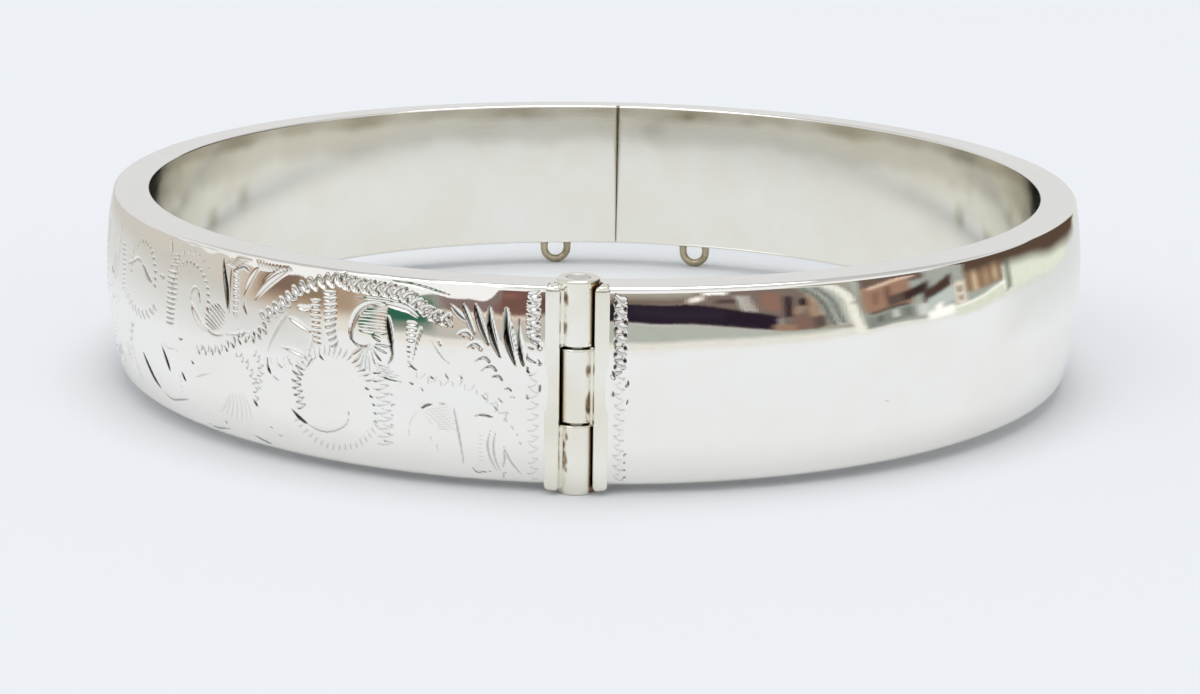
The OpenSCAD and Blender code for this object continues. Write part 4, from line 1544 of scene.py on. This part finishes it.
@dataclass
class Studio:
    """Pale floor, soft light, the cards that give polished silver its edges, and the camera."""

    resting: Resting
    floor_size: float = 4.0
    ring_r: float = 1.4
    seen_height: float = 0.0085
    card_z: float = 0.0003
    face_r: float = 0.0303
    face_share: float = 0.54
    panels: tuple = (("key_panel", (0.15, 0.2, 2.6), 1.6, 27.0), ("fill_panel", (-1.3, -1.2, 1.8), 1.2, 7.0))
    walls: tuple = (0.97, 0.77)
    overhead: float = 0.7
    crest: float = 9.6
    crest_fall: float = 0.03
    silver_gives: float = 0.93

    def cards(self) -> list[Card]:
        """The cards from back to front: a grey sheet on the table in front, with two openings above it."""
        return [
            # grey on the table close beside the band at both sides: painted shade of the band on the table,
            # as the silver reflects it; then the tent's walls all round
            Card((-210, -60), (-17, 0), "C4C3C0", soft=14.0, share=0.6),
            Card((108, 210), (-17, 0), "BFC2C1", soft=14.0, share=0.4),
            Card((-200, 200), (-6.0, 30), "C4C4BF", soft=4.5),
            Card((104, 200), (-6.6, 30), "D9DED4", soft=3.0),
            Card((-200, -80), (-4.5, 30), "C9C5BF", soft=6.0),
            # the grey sheet in front, with a paler strip along its near edge
            Card((-60, 110), (-7.9, 12), "E0DED8", 0.015, 2.2),
            Card((-20, 74), (-5.4, 12), "ADB3AC", 0.004, 1.4),
            # first opening: olive above, a dark curtain that narrows to the right, brown boards
            Card((-13, 60), (-1.14, 14), "A29D92", -0.12, 0.4, 1.2, 1.0, 0.0),
            Card((-13, 36), (4.5, 6.4), "74655D", -0.03, 1.6, 0.6),
            Card((24, 52), (-2.0, 9), "7A6C66", -0.12, 0.6, 0.3, 1.0, 0.0),
            Card((-13, 22), (0.3, 4.6), "D8D2D0", -0.082, 0.25, 0.1, 1.0, -0.056),
            Card((21, 42.4), (-2.6, 1.6), "D2CCC8", -0.155, 0.25, 0.4, 1.0, -0.226),
            Card((-13, 22), (0.6, 5.27), "271E2B", -0.082, 0.4, 0.1, 1.0, -0.056),
            Card((21, 42), (-2.3, 2.16), "271E2B", -0.155, 0.4, 0.4, 1.0, -0.226),
            Card((10, 30), (0.9, 3.0), "322E3A", -0.12, 1.6, 0.8, share=0.6),
            Card((25.3, 30.5), (5.9, 7.0), "FFFFFF", -0.05, 0.5, 0.5, 1.2),
            Card((22.2, 25.4), (4.6, 5.8), "F6F2EC", 0.1, 0.5, 0.6),
            Card((28, 34), (3.6, 4.6), "53413F", 0, 0.6, 0.5),
            Card((35.2, 36.2), (1.4, 5.4), "D3D3CE", -0.1, 0.4, 0.3, 1.0, None, 0.5),
            Card((37, 37.8), (1.0, 5.2), "CFCBC6", -0.1, 0.4, 0.3, 1.0, None, 0.5),
            Card((38.4, 42.6), (1.2, 5.4), "8C6C60", -0.1, 0.6, 0.6),
            Card((43.4, 45.4), (-0.6, 4.6), "33242B", 0, 0.6, 0.6),
            Card((45.4, 51.5), (-4.1, -0.2), "7D655B", 0, 0.5, 0.5),
            Card((40.5, 46), (-4.1, -2.4), "957A68", -0.06, 0.5, 0.5),
            Card((45.6, 48.4), (0.2, 2.2), "9A8272", 0.3, 0.5, 0.5),
            Card((47.0, 49.8), (2.0, 3.9), "2C232B", 0, 0.5, 0.6),
            Card((49.7, 51.8), (-0.9, 5.0), "A58B75", 0, 0.5, 0.6, 1.0, None, 0.2),
            Card((50.2, 53.4), (-3.9, -0.9), "5E504D", 0.1, 0.7, 0.6),
            # its rounded frame with two thin dark strips, and the white post beside it
            Card((52.8, 62), (-4.4, 14), "B3B7B0", -0.03, 0.3, 1.0, 1.0, 0.0, 0.3, 0.1),
            Card((53.3, 54.3), (-4.1, 6.5), "2E3B36", 0, 0.2, 0.3, 1.0, 0.0, 0.3, 0.1),
            Card((55.6, 56.5), (-3.9, 6.0), "35423D", 0, 0.2, 0.3, 1.0, 0.0, 0.3, 0.1),
            Card((58.6, 61.4), (-7.5, 14), "EAEAE0", 0, 0.3, 0.5, 1.0, 0.0, 0.2, 0.14),
            Card((60.2, 60.8), (0.2, 1.0), "3A3B38", 0, 0.3, 0.25),
            Card((61.6, 62.3), (-6.6, 14), "777B73", 0, 0.3, 0.3, 1.0, 0.0, 0.2, 0.14),
            # second opening: boards above, grey things and a bright patch below, then green-white
            Card((62.4, 107), (-6.5, 14), "A2A7A1", 0.004, 0.4, 0.6, 1.0, 0.0, 0.1),
            Card((62.4, 80), (2.4, 14), "6C5C54", 0, 0.6, 0.5, 1.0, 0.0, 0.1),
            Card((62.6, 76), (-2.4, 3.4), "9C7D6A", 0.02, 0.5, 0.8, 1.0, None, 0.2),
            Card((65.6, 66.6), (-0.9, 1.9), "77584C", 0.02, 0.4, 0.3),
            Card((68.6, 70.0), (-0.3, 2.4), "6E5146", 0.02, 0.4, 0.3),
            Card((64, 77), (2.9, 3.5), "E3C9B6", 0.05, 0.4, 0.2),
            Card((64, 75), (-2.8, -2.2), "564740", 0.04, 0.5, 0.3),
            Card((69, 74.5), (-1.9, 0.2), "5C4E49", 0.1, 0.5, 0.6),
            Card((74, 81), (-0.9, 1.1), "3B2C2C", 0.25, 0.5, 0.6),
            Card((63.2, 76), (-6.0, -3.1), "838983", 0.06, 0.9, 0.5),
            Card((66, 67.2), (-5.2, -3.6), "5B5F59", 0.06, 0.5, 0.3),
            Card((70, 71.6), (-5.0, -3.2), "C9CDC6", 0.06, 0.5, 0.3),
            Card((73.6, 74.6), (-5.0, -3.0), "6E726C", 0.06, 0.5, 0.3),
            Card((77, 82), (-5.4, -2.6), "CDD1CF", 0.1, 0.8, 0.5),
            Card((79, 88), (-1.9, 0.6), "4A3832", 0.22, 0.5, 0.5),
            Card((80, 88.4), (-4.4, -1.4), "BCC5C2", 0.15, 0.5, 0.5),
            Card((79.5, 88), (-7.0, -4.8), "FAFBF8", 0.05, 1.0, 0.8, 1.05),
            Card((82, 84.2), (-5.4, -3.6), "FAFBF8", 0.3, 0.5, 0.3, 1.05),
            Card((92, 107), (-3.4, 1.8), "8F765F", -0.06, 0.8, 0.6),
            Card((88.6, 92), (-4.9, -0.6), "DDD3C6", 0.03, 0.4, 0.3),
            Card((89.6, 90.8), (-4.2, -3.2), "7F7268", 0.03, 0.3, 0.2),
            Card((89.6, 90.8), (-2.6, -1.4), "7F7268", 0.03, 0.3, 0.2),
            Card((94.6, 96.2), (-3.2, 0.8), "CDB79E", -0.05, 0.6, 0.3),
            Card((98.6, 100.4), (-3.0, 1.0), "A88D73", -0.05, 0.6, 0.3),
            Card((102, 103.4), (-3.2, 1.0), "C4AD93", -0.05, 0.6, 0.3),
            Card((88, 106), (-7.4, -4.9), "D6DCCE", 0.07, 1.0, 0.3, 1.0, 0.07),
            Card((88, 106), (-5.2, -4.6), "F6F8F0", 0.07, 0.5, 0.2),
            Card((106.4, 108.8), (-6.0, -0.8), "8A968A", 0, 0.4, 0.3),
            Card((105.6, 106.3), (-6.0, -1.4), "F6F8F0", 0, 0.3, 0.1),
            Card((109, 140), (-6.6, -1.0), "DCE3D4", -0.05, 1.2, 0.6),
            Card((92, 150), (-3.2, 30), "57463B", -0.13, 1.6, 0.8, 1.0, 0.0),
            # on the engraved side: red-brown, dark green, then browns that turn to olive
            Card((-34, -9), (-6.1, -3.2), "B9B8B4", 0, 1.0, 0.8),
            Card((-34, -9), (-3.5, 0.6), "C3B8AE", 0, 0.8, 0.8),
            Card((-32, -10), (0.2, 1.2), "F6E7D5", 0, 0.5, 0.4),
            Card((-33, -9), (1.2, 14), "826F6D", 0, 0.5, 1.0),
            Card((-19.5, -9), (0.9, 14), "70524B", 0.05, 1.2, 0.4, 1.0, 0.0),
            Card((-18.5, -15), (5.4, 6.6), "8C5F57", 0.1, 0.8, 0.4),
            Card((-50, -32), (-6.0, 8), "A3A79E", 0.02, 0.9, 0.8),
            Card((-48, -33), (-4.6, 8), "7C877D", 0.02, 0.7, 0.8),
            Card((-47, -34), (-3.0, 4.4), "2E6350", 0.02, 0.9, 1.2),
            Card((-82, -49), (-4.4, 8), "C2B2A2", 0.02, 4.6, 1.5),
            Card((-78, -51), (-3.4, 8), "A6917E", 0.02, 2.6, 1.5),
            Card((-77, -66), (-1.6, 9), "7B675B", 0.02, 2.4, 1.5),
            Card((-66, -58), (-1.2, 8), "8B7A66", 0.02, 1.4, 1.5),
        ]

    def sheet(self, name: str, corners: list, material: bpy.types.Material) -> bpy.types.Object:
        """Makes one flat stage sheet from its four corners, in metres."""
        mesh = bpy.data.meshes.new(name)
        mesh.from_pydata(corners, [], [(0, 1, 2, 3)])
        mesh.materials.append(material)
        sheet = bpy.data.objects.new(name, mesh)
        bpy.context.scene.collection.objects.link(sheet)
        return sheet

    def floor(self) -> None:
        """Lays the pale floor, matt card."""
        made = bpy.data.materials.new("pale_floor")
        made.use_nodes = True
        shader = made.node_tree.nodes["Principled BSDF"]
        shader.inputs["Base Color"].default_value = linear("E3E6E9")
        shader.inputs["Roughness"].default_value = 0.5
        shader.inputs["Specular IOR Level"].default_value = 0.0
        s = self.floor_size / 2
        self.sheet("floor", [(-s, -s, 0), (s, -s, 0), (s, s, 0), (-s, s, 0)], made)

    def tones(self, az: np.ndarray, el: np.ndarray) -> np.ndarray:
        """Paints the cards over each other, in the colours that the silver shows them in.

        A card's colour is divided by what silver gives back. Each card covers its share of those before
        it, and the sum is then divided by the whole share covered, because the shader mixes by that share
        again. The edges are bent by two sines, and all fades out above a crest.

        Args:
            az: azimuths in degrees.
            el: elevations in degrees, of the same shape.

        Returns:
            Linear colours and cover, with a last axis of 4.
        """
        bent = el + 0.22 * np.sin(np.radians(az * 9.0)) + 0.12 * np.sin(np.radians(az * 23.0 + 50))
        tone = np.zeros((*az.shape, 4))
        for card in self.cards():
            paint = np.array(linear(card.colour)) * card.glow / self.silver_gives
            paint[3] = 1.0
            tone += (paint - tone) * card.cover(az, bent)[..., None]
        tone[..., :3] /= np.maximum(tone[..., 3:], 1e-4)
        crest = self.crest - self.crest_fall * np.maximum(np.abs(az) - 9, 0)
        tall = np.clip((az - 44) / 6, 0, 1) * np.clip((154 - az) / 6, 0, 1)
        taller = 6 + 24 * np.clip((az - 84) / 6, 0, 1)
        tone[..., 3] *= np.clip((crest + tall * taller - el) / 0.35, 0, 1)
        mottle = np.sin(az * 1.31 + 2 * np.sin(el * 0.9)) * np.sin(el * 2.3 + 1.7 * np.sin(az * 0.23))
        tone[..., :3] *= 1 + 0.03 * mottle[..., None]
        return tone

    def card_light(self) -> bpy.types.Material:
        """Light of the cards: an even glow of each point's tone, clear where no card is.

        Returns:
            The material.
        """
        made = bpy.data.materials.new("card_light")
        made.use_nodes = True
        tree = made.node_tree
        tree.nodes.clear()
        tone = add_node(tree, "ShaderNodeAttribute", {"attribute_name": "tone"})
        glow = add_node(tree, "ShaderNodeEmission", {}, {"Color": tone.outputs["Color"], "Strength": 1.0})
        clear = add_node(tree, "ShaderNodeBsdfTransparent")
        mix = add_node(tree, "ShaderNodeMixShader", {}, {
            0: tone.outputs["Alpha"], 1: clear.outputs["BSDF"], 2: glow.outputs["Emission"]})
        add_node(tree, "ShaderNodeOutputMaterial", {}, {"Surface": mix.outputs["Shader"]})
        return made

    def surround(self) -> None:
        """Puts the cards round the set, on one sheet that only reflections see.

        A direction is taken from the point of the face that shows it, at azimuth * share about the axis.
        Below the horizon it meets the table, at a distance height / tan(elevation) from there. Above it,
        it meets a wall at ring_r, at a height of ring_r * tan(elevation).
        """
        brink = math.degrees(math.atan(self.seen_height / self.ring_r))
        low = np.radians(np.concatenate([np.linspace(-26, -9.8, 10), np.linspace(-9, -brink - 0.04, 36)]))
        high = np.radians(np.concatenate([np.linspace(-brink + 0.04, 9.2, 40), np.linspace(10, 28, 10)]))
        azimuth = np.unique(np.round(np.concatenate([
            np.arange(-180, 180.1, 2.0), np.arange(-90, 24, 0.5), np.arange(24, 110, 0.2)]), 3))
        elevation = np.degrees(np.concatenate([low, high]))
        reach = np.concatenate([self.seen_height / np.tan(-low), np.full(len(high), self.ring_r)])
        height = np.concatenate([np.full(len(low), self.card_z),
                                 self.seen_height + self.ring_r * np.tan(high)])
        az, el = np.meshgrid(azimuth, elevation, indexing="ij")
        way, foot = np.radians(az), np.radians(az * self.face_share)
        x = reach * np.sin(way) + self.face_r * np.sin(foot)
        y = -reach * np.cos(way) - self.face_r * np.cos(foot)
        points = np.stack([x, y, np.broadcast_to(height, az.shape)], -1)
        i, j = np.arange(az.shape[0] - 1)[:, None], np.arange(az.shape[1] - 1)[None, :]
        n = az.shape[1]
        faces = np.stack([i * n + j, (i + 1) * n + j, (i + 1) * n + j + 1, i * n + j + 1], -1).reshape(-1, 4)
        mesh = bpy.data.meshes.new("surround")
        mesh.from_pydata(points.reshape(-1, 3), [], faces)
        tone = self.tones(az, el).astype(np.float32)
        mesh.attributes.new("tone", "FLOAT_COLOR", "POINT").data.foreach_set("color", tone.ravel())
        mesh.materials.append(self.card_light())
        surround = bpy.data.objects.new("surround", mesh)
        bpy.context.scene.collection.objects.link(surround)
        surround.visible_camera = surround.visible_diffuse = surround.visible_shadow = False

    def light(self) -> None:
        """Pale tent walls all round, dimmer overhead, a soft panel above and a weaker one at the left."""
        world = bpy.data.worlds.new("light_tent")
        world.use_nodes = True
        bpy.context.scene.world = world
        tree = world.node_tree
        tree.nodes.clear()
        way = add_node(tree, "ShaderNodeSeparateXYZ", {}, {
            0: add_node(tree, "ShaderNodeTexCoord").outputs["Generated"]})
        wall = add_node(tree, "ShaderNodeMapRange", {"interpolation_type": "SMOOTHSTEP"}, {
            "Value": way.outputs["Y"], "From Min": -0.5, "From Max": 0.7, "To Min": self.walls[0],
            "To Max": self.walls[1]})
        share = add_node(tree, "ShaderNodeMapRange", {"interpolation_type": "SMOOTHSTEP"}, {
            "Value": way.outputs["Z"], "From Min": 0.45, "From Max": 0.75, "To Min": 1.0,
            "To Max": self.overhead})
        strength = add_node(tree, "ShaderNodeMath", {"operation": "MULTIPLY"}, {
            0: wall.outputs["Result"], 1: share.outputs["Result"]})
        back = add_node(tree, "ShaderNodeBackground", {}, {
            "Color": linear("FAFBFD"), "Strength": strength.outputs["Value"]})
        add_node(tree, "ShaderNodeOutputWorld", {}, {"Surface": back.outputs["Background"]})
        for name, place, size, watts in self.panels:
            lamp = bpy.data.lights.new(name, "AREA")
            lamp.shape, lamp.size, lamp.energy = "SQUARE", size, watts
            panel = bpy.data.objects.new(name, lamp)
            away = Vector(place)
            panel.matrix_world = Matrix.Translation(away) @ away.to_track_quat("Z", "Y").to_matrix().to_4x4()
            bpy.context.scene.collection.objects.link(panel)
        bpy.context.scene.view_settings.view_transform = "Standard"

    def camera(self) -> None:
        """Sets the camera where the photograph was taken from, worked out from the band's outlines."""
        place = np.array([3.66, -139.53, 37.34])
        pan, tilt, roll = -0.023, 0.26, 0.015
        focal_px, centre_y_px = 2248.0, 333.4
        forward = np.array([math.sin(pan) * math.cos(tilt), math.cos(pan) * math.cos(tilt), -math.sin(tilt)])
        right = np.array([math.cos(pan), -math.sin(pan), 0.0])
        up = np.cross(right, forward)
        c, s = math.cos(roll), math.sin(roll)
        right, up = c * right + s * up, c * up - s * right
        axes = self.resting.turn(np.stack([right, up, -forward]))
        data = bpy.data.cameras.new("camera")
        data.sensor_width = SENSOR_MM
        data.lens = focal_px / PHOTO_W * SENSOR_MM
        data.shift_y = -(PHOTO_H / 2 - centre_y_px) / PHOTO_W
        data.clip_start, data.clip_end = 0.005, 20.0
        camera = bpy.data.objects.new("camera", data)
        world = np.eye(4)
        world[:3, :3] = axes.T
        world[:3, 3] = self.resting.place(place)
        camera.matrix_world = Matrix(world.tolist())
        bpy.context.scene.collection.objects.link(camera)
        bpy.context.scene.camera = camera

    def build(self) -> None:
        """Builds the whole set."""
        self.floor()
        self.surround()
        self.light()
        self.camera()


def main() -> None:
    """Builds the studio and the bangle's pieces in order."""
    logging.basicConfig(level=logging.INFO, format="%(name)s: %(message)s")
    band, hinge, clasp = Band(), Hinge(), Clasp()
    resting = Resting.from_joint(frame["joints"][0], band.height)
    LOG.info("lean %.4f degrees, lift %.4f mm", math.degrees(resting.lean), resting.lift)
    Studio(resting).build()
    finishes = Finishes()
    EngravedHalf(Half.ENGRAVED, band, hinge, clasp, resting, finishes).build()
    PlainHalf(Half.PLAIN, band, hinge, clasp, resting, finishes).build()
    BarrelHinge(band, hinge, resting, finishes).build()
    ChainLoop("chain_loop_engraved", Half.ENGRAVED, clasp.seam_x - 4.6, band, resting, finishes).build()
    ChainLoop("chain_loop_plain", Half.PLAIN, clasp.seam_x + 6.0, band, resting, finishes).build()
    tongue = frame["nodes"]["clasp_tongue"]
    tongue.data.materials.clear()
    tongue.data.materials.append(finishes.satin)


if __name__ == "__main__":
    main()
